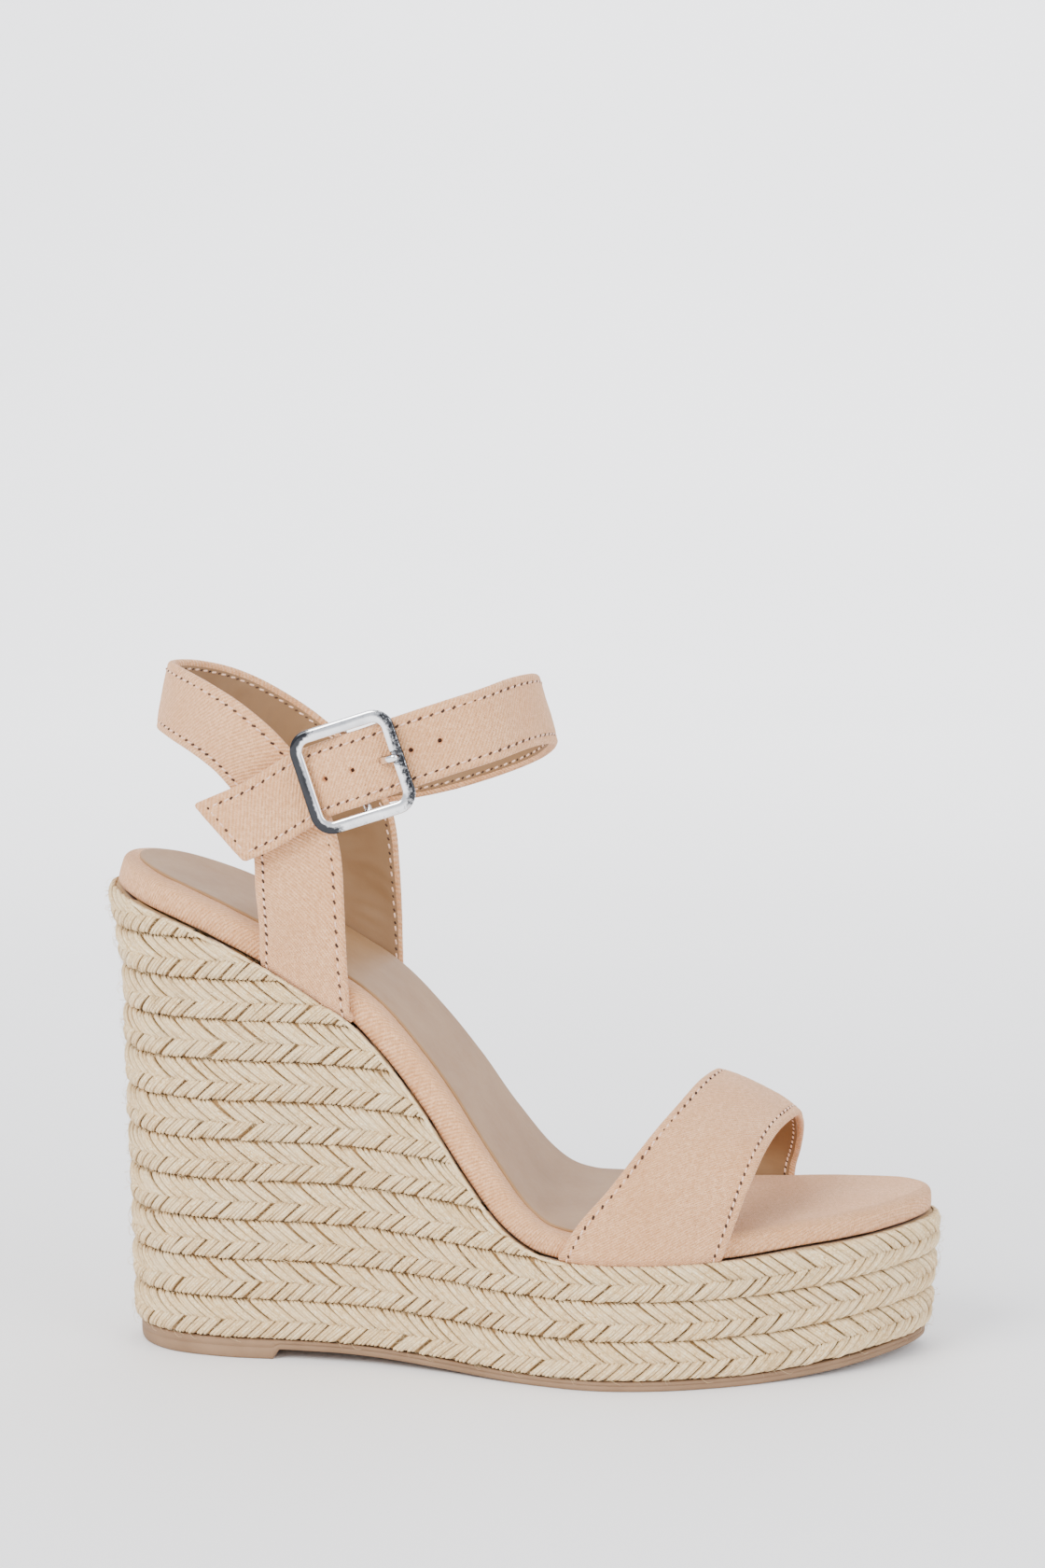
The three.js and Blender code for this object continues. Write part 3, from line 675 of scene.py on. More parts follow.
_sling_half = [
    [-51.5, 33, 94, 14.3, 0.535], [-51.8, 33, 101, 13.8, 0.52], [-52, 32.6, 113, 12.6, 0.4],
    [-52.5, 32.4, 126, 11.8, 0.12], [-53.3, 32.6, 139, 11.4, -0.18], [-56.5, 32.4, 150, 10.6, -0.5],
    [-63, 30.8, 159.5, 9.8, -0.9], [-72, 27, 167, 9.5, -1.15], [-82, 20.5, 172, 9.4, -1.32],
    [-91, 11, 174.8, 9.3, -1.45], [-95.3, 0, 175.3, 9.3, -math.pi / 2]]
_sling_inner = [
    [-47.3, 33, 94, 14.3, 0.535], [-47.6, 33, 101, 13.8, 0.52], [-47.8, 32.6, 113, 12.6, 0.4],
    [-48.5, 32.4, 126, 11.8, 0.12], [-50, 32.6, 138, 11.4, -0.18], [-54.5, 32.4, 148, 10.6, -0.5],
    [-62.5, 30.8, 157, 9.8, -0.9], [-72, 27, 164.8, 9.5, -1.15], [-82, 20.5, 171, 9.4, -1.32],
    [-91, 11, 174.5, 9.3, -1.45]]
_sling_rows = np.array([[x, -y, z, w, a] for x, y, z, w, a in _sling_half] + _sling_inner[::-1])
SLING_PATH = Curve(_sling_rows[:, :3])
SLING_SPAN = Curve(np.c_[_sling_rows[:, 3:], np.zeros(len(_sling_rows))])


def heel_sling(v, u):
    c, s = SLING_PATH(v), SLING_SPAN(v)
    tip = smooth(0.3, 0.5, v) * (1 - smooth(0.5, 0.7, v))
    d = unit(np.stack([-np.cos(s[..., 1]) - 0.17 * tip, 0 * v, np.sin(s[..., 1])], -1))
    p = c + d * ((u - 0.5) * 2 * s[..., 0])[..., None]
    pull = np.where(p[..., 2] > 135, 0, 1 - smooth(6, 28, above_foot(p) + 4))
    for side, m in ((-1, v < 0.5), (1, v >= 0.5)):
        p[m] = tuck(on_flank(p[m], pull[m], side), side)
    return p


ANKLE_PATH = Curve([
    [-73, -36.7, 143.4], [-62, -37, 148.4], [-53.5, -36.9, 153.6], [-48.5, -37, 156.6],
    [-42.5, -38.3, 159.1], [-37, -39.5, 161], [-31.5, -38.3, 162.8], [-25, -36.9, 165.1],
    [-14, -34, 168.7], [-3, -27.5, 172], [4.2, -16, 174], [8.1, -2, 173.5], [6.1, 12, 170],
    [-0.5, 22, 165.2], [-11, 29, 160.2], [-25, 33, 155.3], [-40, 35.6, 151.8], [-52, 35.8, 150],
    [-61, 35.4, 149]])


def ankle_strap(v, u):
    e = 1e-4
    c = ANKLE_PATH(v)
    t = unit(ANKLE_PATH(np.minimum(1, v + e)) - ANKLE_PATH(np.maximum(0, v - e)))
    out = unit(np.stack([t[..., 1], -t[..., 0], 0 * v], -1))
    w = unit(np.cross(t, out))
    w = np.where(w[..., 2:] < 0, -w, w)
    w = unit(w - out * (0.28 * smooth(-20, 6, c[..., 0]))[..., None])
    shear = TAIL_SLANT * (0.5 - u) * (1 - smooth(0, 0.12, v))
    return c + w * ((u - 0.5) * STRAP_W)[..., None] + t * shear[..., None]


class Strap:
    """A strap surface resampled evenly along its length, with its outward normals."""

    _lines = np.linspace(0, 1, 41)

    def __init__(self, surface, outward, feet):
        self.surface, self.sign = surface, 1.0
        self.v0, self.v1 = (self._foot(0, 0.3), self._foot(1, 0.7)) if feet else (None, None)
        v = np.linspace(0, 1, 2500)
        s = run_length(surface(*self._span(v, 0.5 + 0 * v)))
        self.length, self._s, self._v = s[-1], s, v
        a, b = surface(*self._span(v, 0 * v)), surface(*self._span(v, 0 * v + 1))
        self._w = np.linalg.norm(a - b, axis=1)
        q = self.normal(np.array([self.length * 0.5]), np.array([0.5]))
        if np.dot(q[0], outward) < 0:
            self.sign = -1.0

    def _foot(self, end, far):
        """v where each line along the strap dips just below the footbed's edge."""
        vs, hit = np.linspace(end, far, 900), []
        for u in self._lines:
            h = above_foot(self.surface(vs.copy(), u + 0 * vs)) + FOOT_TUCK
            hit.append(vs[np.argmax(h > 0)])
        return np.array(hit)

    def _span(self, v, u):
        if self.v0 is None:
            return v, u
        a, b = np.interp(u, self._lines, self.v0), np.interp(u, self._lines, self.v1)
        return a + (b - a) * v, u

    def width(self, s):
        return np.interp(s, self._s, self._w)

    def at(self, s, u):
        v = np.interp(s, self._s, self._v)
        s, u = np.broadcast_arrays(v, u)
        return self.surface(*self._span(s.copy(), u.copy()))

    def normal(self, s, u):
        e = 0.15
        ds = self.at(np.minimum(s + e, self.length), u) - self.at(np.maximum(s - e, 0), u)
        du = self.at(s, np.minimum(u + 0.01, 1)) - self.at(s, np.maximum(u - 0.01, 0))
        return unit(np.cross(ds, du)) * self.sign

    def lift(self, s, u, off):
        return self.at(s, u) + self.normal(s, u) * np.asarray(off)[..., None]


def stitch_dip(from_edge, s, inset):
    """Seam line pressed into the cloth, with a little pucker between stitches."""
    near = np.exp(-((from_edge - inset) / 0.55) ** 2)
    return -near * (0.16 + 0.05 * np.cos(2 * np.pi * s / STITCH_PITCH))


def graded(length, coarse, fine, spots, reach):
    """Positions from 0 to length, `fine` apart near the spots and `coarse` apart elsewhere."""
    x = np.linspace(0, length, 4000)
    near = np.zeros_like(x)
    for spot in spots:
        near = np.maximum(near, np.exp(-((x - spot) / reach) ** 4))
    total = np.concatenate([[0], np.cumsum((1 / coarse + near[1:] * (1 / fine - 1 / coarse))
                                           * np.diff(x))])
    return np.interp(np.linspace(0, total[-1], int(total[-1]) + 2), total, x)


def strap_ring(strap, s, across, margin, top, thick, corner):
    """Rounded-edge section at each station: across-strap mm, offset, and 1 on the upper face."""
    r, m = thick / 2, len(across)
    w = strap.width(s)[:, None]
    phi = np.linspace(np.pi / 2, -np.pi / 2, 8)[None, 1:-1]
    end = np.minimum(s, strap.length - s)[:, None]
    inset = margin + corner * (1 - np.sqrt(1 - np.clip(1 - end / corner, 0, 1) ** 2))
    g = np.sqrt(np.clip(1 - np.clip(1 - end / r, 0, 1) ** 2, 0.01, 1))
    span = w - 2 * inset
    face = r + (span - 2 * r) * across[None]
    edge = r * (1 - np.cos(phi)) + 0 * w
    ring_w = inset + np.concatenate([face, span - edge, face[:, ::-1], edge[:, ::-1]], 1)
    ring_o = np.concatenate([r + 0 * face, r * np.sin(phi) + 0 * w, 0 * face - r,
                             (r * np.sin(phi))[:, ::-1] + 0 * w], 1)
    upper = smooth(-0.2, 0.6, ring_o / r)
    return ring_w, top - r + ring_o * g, upper, m


def ring_faces(n, k, m):
    """Side quads of n rings of k points and the strips that close both ends."""
    quads = [grid_quads(n, k, close_m=True)]
    i = np.arange(-3, m + 2)
    strip = np.stack([i % k, (i + 1) % k, (2 * m + 4 - i) % k, (2 * m + 5 - i) % k], 1)
    quads += [strip, strip[:, ::-1] + (n - 1) * k]
    return np.concatenate(quads)


def strap_crown(strap, s, ring_w):
    w = strap.width(s)
    return 0.25 * (1 - (2 * ring_w / w - 1) ** 2)


def strap_piece(name, strap, node, body, material, s, shape):
    ring_w, off, m = shape
    ss = s[:, None] + 0 * ring_w
    p = strap.lift(ss, ring_w / strap.width(ss), off + strap_crown(strap, ss, ring_w))
    ob = new_mesh(name, p, ring_faces(len(s), ring_w.shape[1], m), material, body,
                  {"cloth": np.stack([ss, ring_w, off], -1)})
    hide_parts(node)


def strap_body(name, strap, node, body, thick, holes=(), seed=1, wave=0.12, inset=STITCH_INSET,
               corner=1.2):
    """Folded microsuede strap: outer face, rounded folded edges and a turned-in margin."""
    s = graded(strap.length, STEP, 0.24, [0, strap.length, *holes], 1.9)
    w = strap.width(strap.length / 2) - thick
    lines = [inset - thick / 2, w - inset + thick / 2] + ([w / 2] if len(holes) else [])
    across = graded(w, 0.75, 0.27, lines, 1.3) / w
    ring_w, off, upper, m = strap_ring(strap, s, across, 0, 0, thick, corner)
    ss = s[:, None] + 0 * ring_w
    w = strap.width(ss)
    off = off + upper * stitch_dip(np.minimum(ring_w, w - ring_w), ss, inset)
    off = off + wave * ripple(ss, ring_w, 14, seed) + 0.03 * ripple(ss, ring_w, 2.2, seed + 1)
    for hole in holes:
        d = np.hypot(ss - hole, ring_w - w / 2)
        off = off - upper * 1.5 * (1 - smooth(0.5, 0.85, d)) - upper * 0.1 * np.exp(-(d / 2.2) ** 2)
    strap_piece(name, strap, node, body, SUEDE, s, (ring_w, off, m))


def strap_lining(name, strap, node, body, thick, seed, crease=0.25, margin=1.5):
    """Smooth lining glued inside the strap; it wrinkles where the strap bends."""
    s = graded(strap.length - 0.8, 0.8, 0.3, [0, strap.length], 1.0) + 0.4
    across = np.linspace(0, 1, 30)
    ring_w, off, upper, m = strap_ring(strap, s, across, margin, -thick + 0.3, 0.5, 1.2)
    ss = s[:, None] + 0 * ring_w
    fold = np.abs(ripple(ss, ring_w * 0.25, 7, seed)) ** 1.5
    edge = np.minimum(ring_w, strap.width(ss) - ring_w) - margin
    off = off - (1 - upper) * crease * 0.6 * fold * smooth(0.3, 2.5, edge)
    strap_piece(name, strap, node, body, LINING, s, (ring_w, off, m))


def capsule_row(soup, centre, along, out, length, radius, flat=0.8, sides=6):
    """Short rounded rods, one per centre point: stitches."""
    t = np.linspace(-1, 1, 7)
    k = len(centre)
    bow = -(t ** 4) * radius * 1.4
    path = (centre[:, None] + along[:, None] * (t * length / 2)[None, :, None]
            + out[:, None] * bow[None, :, None])
    g = np.sqrt(np.clip(1 - t ** 6, 0.03, 1)) * radius
    side = np.cross(along, out)
    rep = lambda a: np.repeat(a[:, None], 7, 1)
    soup.tubes(path, rep(side), rep(out), np.tile(g, (k, 1)), np.tile(g * flat, (k, 1)), sides)


def build_stitches(name, thread, pits, body):
    thread.build(name + "_thread", THREAD, body, "microsuede")
    # the needle holes are dark capsules: painted shade
    pits.build(name + "_needle_holes", HOLE, body, "microsuede")


def seam(name, strap, body, inset=STITCH_INSET, start=0.0, inside=False, thick=STRAP_T):
    """Thread and needle holes along both edges of a strap, on its outer or inner face; the holes are
    dark capsules of painted shade.
    """
    thread, pits = Soup(), Soup()
    flip, base = (-1, -thick - 0.2) if inside else (1, 0.0)      # which face, and its height
    for edge in (0, 1):
        s = np.arange(start + STITCH_PITCH / 2, strap.length - 1.0, STITCH_PITCH)
        for soup, shift, off, slant, size in (
                (thread, 0.0, 0.03, 0.16, THREAD_SIZE),
                (pits, STITCH_PITCH / 2, -0.03 if inside else -0.07, 0.5, PIT_SIZE)):
            at = s + shift + rng.normal(0, 0.06, len(s))
            at = at[at < strap.length - 0.6]
            w = strap.width(at)
            u = inset / w if edge == 0 else 1 - inset / w
            out = strap.normal(at, u) * flip
            p = strap.lift(at, u, base + strap_crown(strap, at, u * w)) + out * off
            along = unit(strap.at(np.minimum(at + 0.5, strap.length), u)
                         - strap.at(np.maximum(at - 0.5, 0), u))
            along = unit(along + np.cross(out, along) * slant)
            capsule_row(soup, p, along, out, *size)
    build_stitches(name, thread, pits, body)


TOE = Strap(toe_strap, np.array([0, 0, 1.0]), True)
SLING = Strap(heel_sling, np.array([-1.0, 0, 0]), True)
ANKLE = Strap(ankle_strap, np.array([1.0, 0, 0]), False)
OVER_BAR = [-37, -39.5, 161]     # where the strap passes over the buckle's bar
BUCKLE_S = float(np.interp(np.argmin(np.linalg.norm(ANKLE_PATH(ANKLE._v) - OVER_BAR, axis=1)),
                           np.arange(len(ANKLE._v)), ANKLE._s))
HOLES = [BUCKLE_S + k * HOLE_PITCH for k in (-1, 0, 1, 2, 3)]
PRONG_HOLE = 2                   # the hole that the prong stands in

for piece, strap, rides, thick, inset, seed, bend in (
        ("toe_strap", TOE, "sole", 2.2, 2.6, 11, 0.3),
        ("heel_sling", SLING, "sole", STRAP_T, 2.4, 21, 0.45),
        ("ankle_strap", ANKLE, "ankle_strap", STRAP_T, 2.4, 31, 0.3)):
    tail = piece == "ankle_strap"
    strap_body(piece, strap, piece + "_outer", rides, thick, HOLES if tail else (), seed, 0.15, inset)
    strap_lining(piece + "_inside", strap, piece + "_lining", rides, thick, seed + 1, bend)
    for end, inside in (("_seam", False), ("_inner_seam", True)):
        seam(piece + end, strap, rides, inset, SEAM_START if tail else 0.0, inside, thick)


def hole_shadows():
    """Painted shadow at the bottom of each punched hole but the prong's: a dark disc."""
    soup = Soup()
    for s in HOLES[:PRONG_HOLE] + HOLES[PRONG_HOLE + 1:]:
        sa, ua = np.array([s]), np.array([0.5])
        p, out = ANKLE.lift(sa, ua, np.array([-1.05]))[0], ANKLE.normal(sa, ua)[0]
        a = unit(ANKLE.at(sa + 1, ua) - ANKLE.at(sa - 1, ua))[0]
        b = np.cross(out, a)
        ang = np.linspace(0, 2 * np.pi, 20, endpoint=False)
        rad = np.array([0.02, 0.4, 0.66])[:, None]
        disc = p + a * (rad * np.cos(ang))[..., None] + b * (rad * np.sin(ang))[..., None]
        soup.grid(disc, close_m=True)
    soup.build("strap_hole_painted_shadows", HOLE, "ankle_strap", "microsuede")


hole_shadows()


def cross_seam(name, along_at):
    """Lines of stitches across the ankle strap, parallel to its end."""
    thread, pits = Soup(), Soup()
    edge = 2.6                                  # from the strap's edge to the first stitch
    count = int((STRAP_W - 2 * edge) / 2.9)
    step = (STRAP_W - 2 * edge) / count / STRAP_W
    for s0 in along_at:
        for soup, shift, off, size in ((thread, 0.0, 0.04, END_THREAD_SIZE),
                                       (pits, 0.5, -0.02, END_PIT_SIZE)):
            u = edge / STRAP_W + (np.arange(count) + 0.5 + shift) * step
            s = s0 + 0 * u
            along = unit(ANKLE.at(s, u + 0.02) - ANKLE.at(s, u - 0.02))
            p = ANKLE.lift(s, u, strap_crown(ANKLE, s, u * STRAP_W) + off)
            capsule_row(soup, p, along, ANKLE.normal(s, u), *size)
    build_stitches(name, thread, pits, "ankle_strap")


cross_seam("tail_end", [2.6])
cross_seam("inner_end", [ANKLE.length - 2.6, ANKLE.length - 13.0])


# ---- footbed ----
def rim(x):
    return mix(RIM_HEEL, RIM_TOE, smooth(-10, 20, x))


LOOP = 560
LOOP_S = np.linspace(0, PLAN_LEN, LOOP, endpoint=False)


def bed_loop(inset, d, shrink=0.0, flat_from=None):
    """A loop round the footbed: inset from the braid face, d above the wedge top (along its
    normal), shrunk towards the footbed's middle line by a share."""
    x0, y0 = plan_at(LOOP_S, inset)
    x, y = x0.copy(), y0.copy()
    for _ in range(4):
        z = top_z(x)
        x, y = carried(x0, y0, z)
    cx = np.clip(x, -82, 74)
    cy = 0.5 * (side_y(cx, top_z(cx), -1) + side_y(cx, top_z(cx), 1))
    x, y = mix(x, cx, shrink), mix(y, cy, shrink)
    if flat_from is not None:                       # the sock liner's straight front end
        over = np.maximum(x - flat_from, 0)
        x = np.where(x > flat_from, flat_from + 6 * (1 - np.exp(-over / 6)), x)
        z = top_z(x)
        lo, hi = side_y(x, z, -1) + inset, side_y(x, z, 1) - inset
        y = np.clip(y, lo, hi)
    nx, nz = top_normal(x)
    d = d(x) if callable(d) else d
    return np.stack([x + nx * d, y, top_z(x) + nz * d], -1), \
        np.stack([np.interp(x, TOP_XZ[:, 0], TOP_RUN), y, 0 * x], -1)


def stack_loops(specs, **extra):
    pts, cloth = zip(*(bed_loop(*s, **extra) for s in specs))
    return np.stack(pts), np.stack(cloth)


def loop_mesh(name, p, material, cloth=None):
    """A skin over a stack of loops, riding on the sole."""
    return new_mesh(name, p, grid_quads(*p.shape[:2], close_m=True), material, "sole",
                    {} if cloth is None else {"cloth": cloth})


def above_rim(extra):
    return lambda x: rim(x) + extra


def insole_cover():
    """Microsuede lasted over the padded board: rounded rim, slightly crowned top."""
    i, roll = RIM_INSET, 2.3                    # roll: radius of the rounded rim
    specs = [(i + 2.0, 0.1), (i + 0.4, 0.15), (i - 0.1, 0.8), (i - 0.25, 2.0)]
    specs += [(i - 0.3, lambda x, f=f: f * (rim(x) - roll)) for f in (0.6, 0.8, 0.92)]
    for a in np.linspace(0.15, 1.0, 8) * np.pi / 2:
        specs.append((i - 0.3 + roll * (1 - math.cos(a)), above_rim(roll * (math.sin(a) - 1))))
    brim = len(specs) - 1                       # the last loop of the rounded rim
    for f in (0.06, 0.13, 0.22, 0.34, 0.48, 0.62, 0.76, 0.88, 1.0):
        specs.append((i + 2.0, above_rim(0.12 * math.sin(math.pi * min(1, f * 2))), f))
    p, cloth = stack_loops(specs)
    k = np.arange(len(specs))[:, None]
    rimward = smooth(0, 3, k) * (k < brim)
    p[..., 2] += 0.08 * ripple(cloth[..., 0], cloth[..., 1], 16, 41)
    p[..., 1] += np.sign(p[..., 1]) * rimward * 0.22 * ripple(np.tile(LOOP_S, (len(specs), 1)),
                                                              p[..., 2], 18, 43)
    down = np.where(k < brim, (brim - k) * 0.75, 0)          # the rim's cloth, laid out flat
    for axis, (near, far) in enumerate(zip(plan_at(LOOP_S, 0), plan_at(LOOP_S, 1))):
        cloth[..., axis] += (near - far) * down
    ob = loop_mesh("footbed_cover", p, SUEDE, cloth)
    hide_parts("insole_cover")


def sock_liner():
    """Smooth liner from the heel to under the toe strap, its edge just proud of the suede."""
    i = RIM_INSET + 3.3
    edge = ((0.25, -0.1), (0, 0.25), (0.1, 0.62), (0.5, 0.72))        # inwards and above the rim, mm
    specs = [(i + inwards, above_rim(up)) for inwards, up in edge]
    for f in (0.02, 0.05, 0.1, 0.18, 0.28, 0.4, 0.54, 0.68, 0.84, 1.0):
        dip = 0.5 * math.sin(min(1, f * 1.4) * math.pi / 2)
        specs.append((i + 0.6, lambda x, dip=dip: rim(x) + 0.72 - dip * smooth(-60, -85, x), f))
    p, cloth = stack_loops(specs, flat_from=30)
    p[..., 2] += 0.06 * ripple(cloth[..., 0], cloth[..., 1], 22, 51)
    ob = loop_mesh("sock_liner_sheet", p, SOCK, cloth)
    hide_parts("sock_liner")


insole_cover()
sock_liner()


# ---- rubber sole ----
def outsole():
    """Moulded sole: rounded edge with a fine rib, heel pad, and a plain bar tread underneath."""
    def loop(inset, z, shrink=0.0):
        x, y = carried(*plan_at(LOOP_S, inset), 6.0)
        cx = np.clip(x, -76, 76)
        cy = 0.5 * (side_y(cx, 6 + 0 * cx, -1) + side_y(cx, 6 + 0 * cx, 1))
        x, y = mix(x, cx, shrink), mix(y, cy, shrink)
        return np.stack([x, y, z(x) if callable(z) else z + 0 * x], -1)

    def floor_z(x):
        pad = 1 - smooth(PAD_END - 0.4, PAD_END + 0.4, x)
        return sole_bottom(x) * (1 - pad)

    def wall(f):
        return lambda x: mix(floor_z(x), sole_bottom(x) + SOLE_T, f)

    def tread(x, y, depth):
        bars = 0.5 + 0.5 * np.cos(2 * np.pi * (x + 0.12 * y) / 5.2)
        return 0.55 * smooth(0.55, 0.75, bars) * depth

    s = SOLE_INSET
    edge = ((4.0 - s, 1.0), (0.4, 1.0), (0, 0.94), (0, 0.66), (0.22, 0.62), (0.22, 0.56), (0, 0.52),
            (0.05, 0.3), (0.2, 0.14), (0.5, 0.04), (1.0, 0.0))        # inwards mm, share of the height
    rows = [loop(s + inwards, wall(f)) for inwards, f in edge]
    for f in np.concatenate([[0.03, 0.06], np.linspace(0.1, 1.0, 40)]):
        row = loop(s + 1.0, floor_z, f)
        row[:, 2] += tread(row[:, 0], row[:, 1], smooth(0.03, 0.1, f))
        rows.append(row)
    p = np.stack(rows)
    p[..., 2] = np.maximum(p[..., 2], 0)
    ob = loop_mesh("rubber_sole", p, RUBBER)
    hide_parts("outsole")


outsole()


# ---- buckle ----
U_AX = unit(np.array([0.949, 0, 0.316]))
W_AX = np.array([0, -1.0, 0])
V_AX = np.cross(W_AX, U_AX)


def to_buckle(p):
    return BAR + p[..., :1] * U_AX + p[..., 1:2] * V_AX + p[..., 2:] * W_AX


def rounded_square(l, h, r, n=220):
    x, y = l / 2, h / 2
    seg = []
    for cx, cy, a0 in ((x - r, y - r, 0), (-x + r, y - r, 90), (-x + r, -y + r, 180),
                       (x - r, -y + r, 270)):
        a = np.radians(np.linspace(a0, a0 + 90, 14))
        seg.append(np.stack([cx + r * np.cos(a), cy + r * np.sin(a)], 1))
    p = np.vstack(seg + [seg[0][:1]])
    s = run_length(p)
    t = np.linspace(0, s[-1], n, endpoint=False)
    return np.stack([np.interp(t, s, p[:, k]) for k in (0, 1)], 1)


def superellipse(a, b, e, n=28):
    t = np.linspace(0, 2 * np.pi, n, endpoint=False)
    return np.stack([r * np.sign(c) * np.abs(c) ** (2 / e)
                     for r, c in ((a, np.cos(t)), (b, np.sin(t)))], 1)


def swept(p, a, b, ring):
    """Section points `ring` carried along p in the plane of the unit vectors a and b."""
    return p[:, None] + a[:, None] * ring[..., :1] + b[:, None] * ring[..., 1:]


def round_rod(pts, radius, n=60, sides=18):
    p = Curve(pts)(np.linspace(0, 1, n))
    t = unit(np.gradient(p, axis=0))
    a = unit(np.cross(t, [1.0, 0.2, 0.1]))
    b = np.cross(t, a)
    return swept(p, a, b, superellipse(radius, radius, 2, sides))


def buckle():
    mid = rounded_square(FRAME_L - BAR_W, FRAME_H - BAR_W, 3.9)
    mid[:, 1] = np.where(mid[:, 1] < 0, mid[:, 1] * 1.07, mid[:, 1])      # lower half: a little longer
    tan = unit(np.roll(mid, -1, 0) - np.roll(mid, 1, 0))
    side = np.c_[tan[:, 1], -tan[:, 0], 0 * tan[:, 0]]
    notch = np.exp(-(mid[:, 1] / 1.5) ** 4) * (mid[:, 0] > 5)       # seat for the prong
    z = FRAME_W + 0.12 * np.sin(np.arctan2(mid[:, 1], mid[:, 0]) * 4)
    ring = superellipse(BAR_W / 2, 0.85, 3.4)
    body = swept(np.c_[mid, z], side, np.array([[0, 0, 1.0]]), ring)
    body[..., 2] -= (notch[:, None] * 0.35) * (body[..., 2] > FRAME_W)
    soup = Soup()
    # where the frame gets painted dark reflections: the outer side of each bar, most on the heelward
    # bar
    heelward = 0.34 + 0.66 * smooth(-5, -11.5, mid[:, 0]) + 0.34 * smooth(9, 12.3, mid[:, 0])
    rolled = smooth(-0.95, 0.35, ring[:, 0] / (BAR_W / 2)) + 0.4 * smooth(-0.3, -0.9, ring[:, 1])
    soup.grid(to_buckle(body), close_n=True, close_m=True, edge=rolled * heelward[:, None])
    y = FRAME_H / 2 - BAR_W / 2
    bar = round_rod([[0, -y, FRAME_W], [0, -y + 0.5, 2.2], [0, -y + 1.5, 0.5], [0, -y + 3.4, 0],
                     [0, y - 3.4, 0], [0, y - 1.5, 0.5], [0, y - 0.5, 2.2], [0, y, FRAME_W]], 1.0)
    # the centre bar takes a light share of painted dark reflection
    soup.grid(to_buckle(bar), close_m=True, edge=0.3)
    ob = soup.build("buckle_frame_plated", NICKEL, "buckle_frame", "buckle")
    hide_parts("buckle_frame")
    tongue = Soup()
    pts = np.array([[1.5, 0, 0.1], [4.0, 0, 0.4], [6.1, 0, 0.9], [7.3, 0, 2.0], [8.1, 0, 3.4],
                    [9.0, 0, 4.8], [10.4, 0, 6.25], [11.8, 0, 6.85], [12.9, 0, 6.75]])
    n = 50
    p = Curve(pts)(np.linspace(0, 1, n))
    t = unit(np.gradient(p, axis=0))
    a = np.tile([0, 1.0, 0], (n, 1))
    b = np.cross(t, a)
    k = np.linspace(0, 1, n)
    g = np.sqrt(np.clip(1 - ((k - 0.85) / 0.15).clip(0, 1) ** 2, 0.004, 1))
    ring = superellipse(1, 1, 2.3, 20)
    tong = swept(p, a, b, ring * np.stack([(1.25 - 0.25 * k) * g, 0.74 * g], 1)[:, None])
    # the prong's sides and its eye get painted dark reflections too
    tongue.grid(to_buckle(tong), close_m=True, edge=0.95 * np.abs(ring[None, :, 0]) ** 3)
    ang = np.linspace(0, 2 * np.pi, 40, endpoint=False)
    outward = np.stack([np.cos(ang), 0 * ang, np.sin(ang)], 1)
    eye = swept(1.85 * outward, outward, np.array([[0, 1.0, 0]]), superellipse(0.42, 1.3, 2.8, 20))
    tongue.grid(to_buckle(eye), close_n=True, close_m=True, edge=0.3)
    ob = tongue.build("buckle_prong_plated", NICKEL, "buckle_prong", "buckle")
    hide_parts("buckle_prong")


buckle()


def buckle_tab():
    """Folded tab that holds the buckle's bar, sewn to the heel sling; slotted for the prong."""
    path = Curve([
        [-9, 0, -2.3], [-5, 0, -2.1], [-2, 0, -1.95], [0.6, 0, -1.8], [1.85, 0, -0.7], [1.85, 0, 0.7],
        [0.7, 0, 1.8], [-1, 0, 1.75], [-4.5, 0, 0.2], [-8, 0, -0.8], [-12, 0, -1], [-23, 0, -1]])
    n = 110
    tt, length = path.spaced(n)
    p = path(tt)
    t = unit(np.gradient(p, axis=0))
    b = np.cross(t, [0, 1.0, 0])
    soup = Soup()
    s = np.linspace(0, length, n)
    around_bar = p[:, 0] > -3.2

    def strip(part, half, thick, power, count, middle=0.0):
        """A flat length of the tab: stations `part`, half-width, half-thickness, middle line."""
        ring = superellipse(half, thick, power, count) + [middle, 0]
        body = swept(p[part], np.array([[0, 1.0, 0]]), b[part], ring)
        soup.grid(to_buckle(body), close_m=True, cs=s[part][:, None], cw=ring[:, 0])

    half_width, slot = 6.5, 2.2                 # the slot lets the prong through
    for lo, hi in ((-half_width, -slot), (slot, half_width)):
        strip(np.arange(n), (hi - lo) / 2, 0.43, 6, 30, (lo + hi) / 2)
    for half in (np.arange(n) < n // 2, np.arange(n) >= n // 2):
        strip(np.flatnonzero(~around_bar & half), 2.4, 0.42, 6, 24)
    cloth = np.stack([np.concatenate(soup.attr[k]) for k in ("cs", "cw", "around")], -1)
    ob = new_mesh("buckle_tab_folded", np.concatenate(soup.v), np.concatenate(soup.q), SHADED_SUEDE,
                  "ankle_strap", {"cloth": cloth})
    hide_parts("buckle_tab")


buckle_tab()

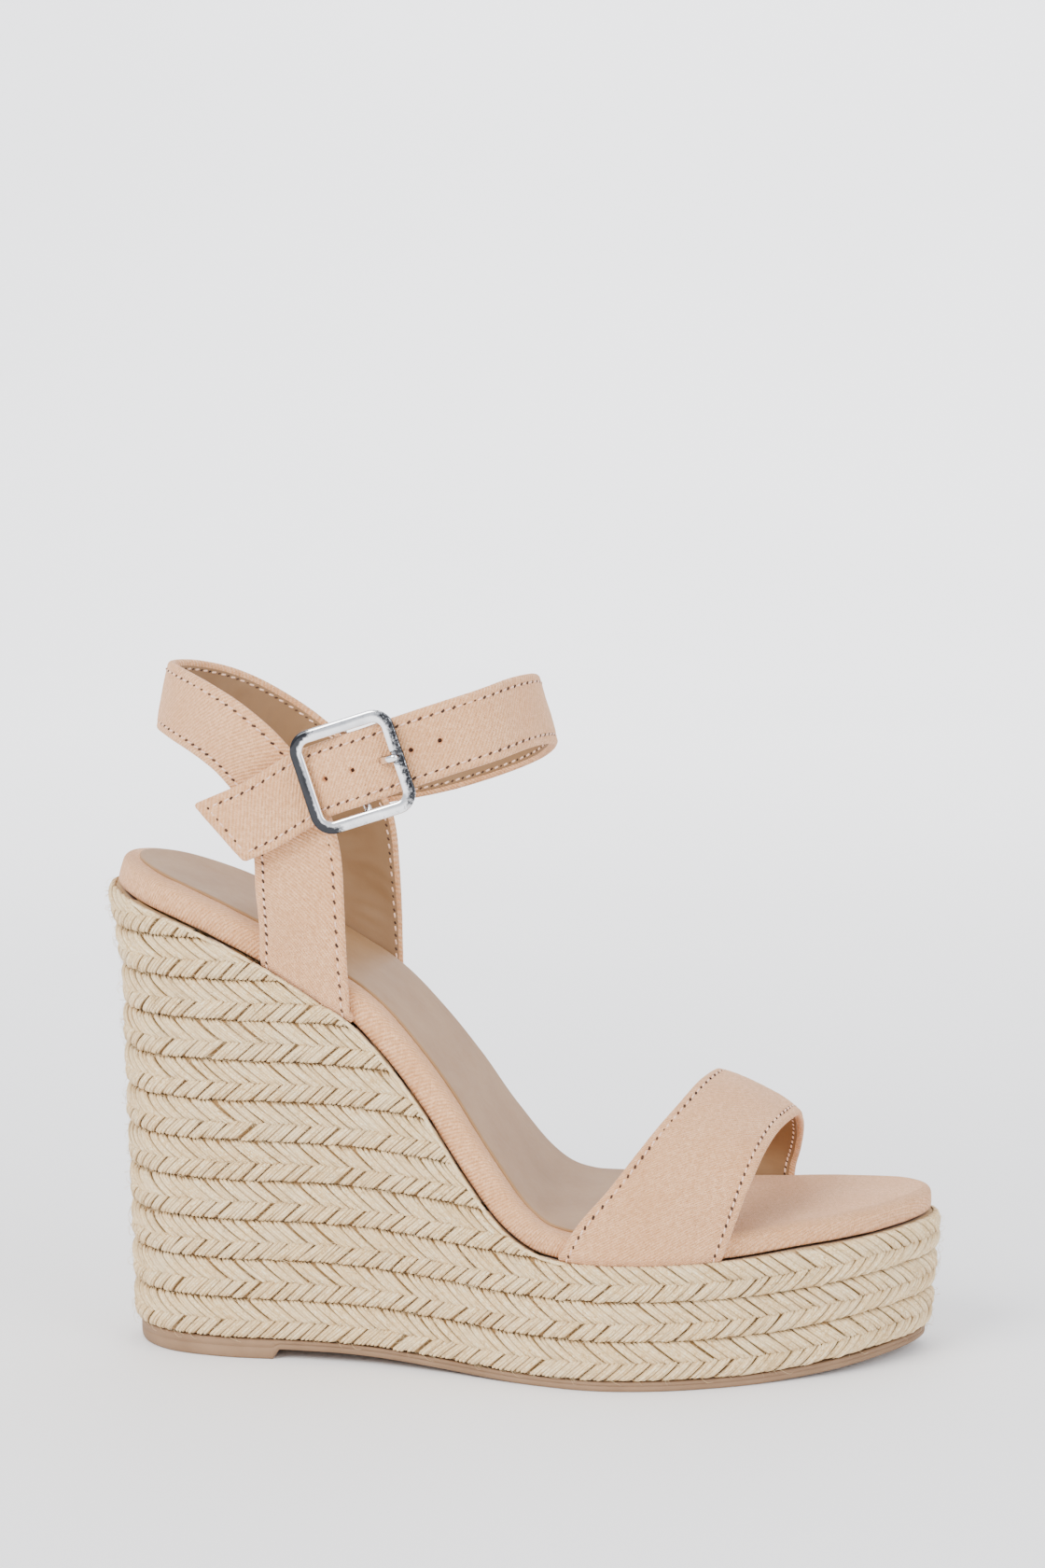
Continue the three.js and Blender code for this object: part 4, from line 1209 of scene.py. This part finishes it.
# hidden inner pieces keep their CAD shape and get their own finish
for node, material in (("wedge_core", CORK), ("insole_board", BOARD), ("foam_pad", FOAM),
                       ("steel_shank", STEEL)):
    ob = frame["nodes"][node]
    ob.data.materials.clear()
    ob.data.materials.append(material)

# ---- floor and light ----
def make_stage():
    size, start, radius = 9.0, 1.5, 1.6
    arc = np.linspace(0, np.pi / 2, 48)
    prof = np.vstack([[[-size, 0]], np.c_[start + radius * np.sin(arc), radius * (1 - np.cos(arc))],
                      [[start + radius, size]]])
    x = np.array([-size, size])
    pts = np.stack(np.broadcast_arrays(x[None, :], prof[:, :1], prof[:, 1:]), -1).reshape(-1, 3)
    me = bpy.data.meshes.new("floor")
    me.from_pydata(pts.tolist(), [], grid_quads(len(prof), 2).tolist())
    for face in me.polygons:
        face.use_smooth = True
    m = Nodes("floor")
    cloud = m.noise(m.position(), 3.0, 3.0)
    m.set(Base_Color=m.ramp(cloud, [(0.3, srgb(248, 247, 247)), (0.7, srgb(252, 251, 251))]),
          Roughness=0.8)
    me.materials.append(m.mat)
    ob = add_object("floor", me)


def area_light(name, loc, target, size, power, color=(1, 1, 1)):
    data = bpy.data.lights.new(name, "AREA")
    data.shape, data.size, data.energy, data.color = "DISK", size, power, color
    aim(add_object(name, data), loc, Vector(target) - Vector(loc))


make_stage()
SHOE_MID = (0, 0, 0.08)
for light in (("key", (-0.9, -1.3, 1.25), SHOE_MID, 1.2, 44, (1.0, 0.985, 0.96)),
              ("fill", (1.4, -1.0, 0.9), SHOE_MID, 1.4, 19, (0.95, 0.975, 1.0)),
              ("top", (0.1, 0.5, 1.8), (0, 0, 0.05), 1.6, 7),
              ("backdrop", (0.0, 1.3, 2.0), (0, 3.0, 0.9), 2.4, 95, (0.97, 0.98, 1.0))):
    area_light(*light)
world = bpy.data.worlds.new("studio")
bpy.context.scene.world = world
world.use_nodes = True
sky = world.node_tree.nodes["Background"].inputs
sky["Color"].default_value, sky["Strength"].default_value = (0.86, 0.89, 0.95, 1), 1.28
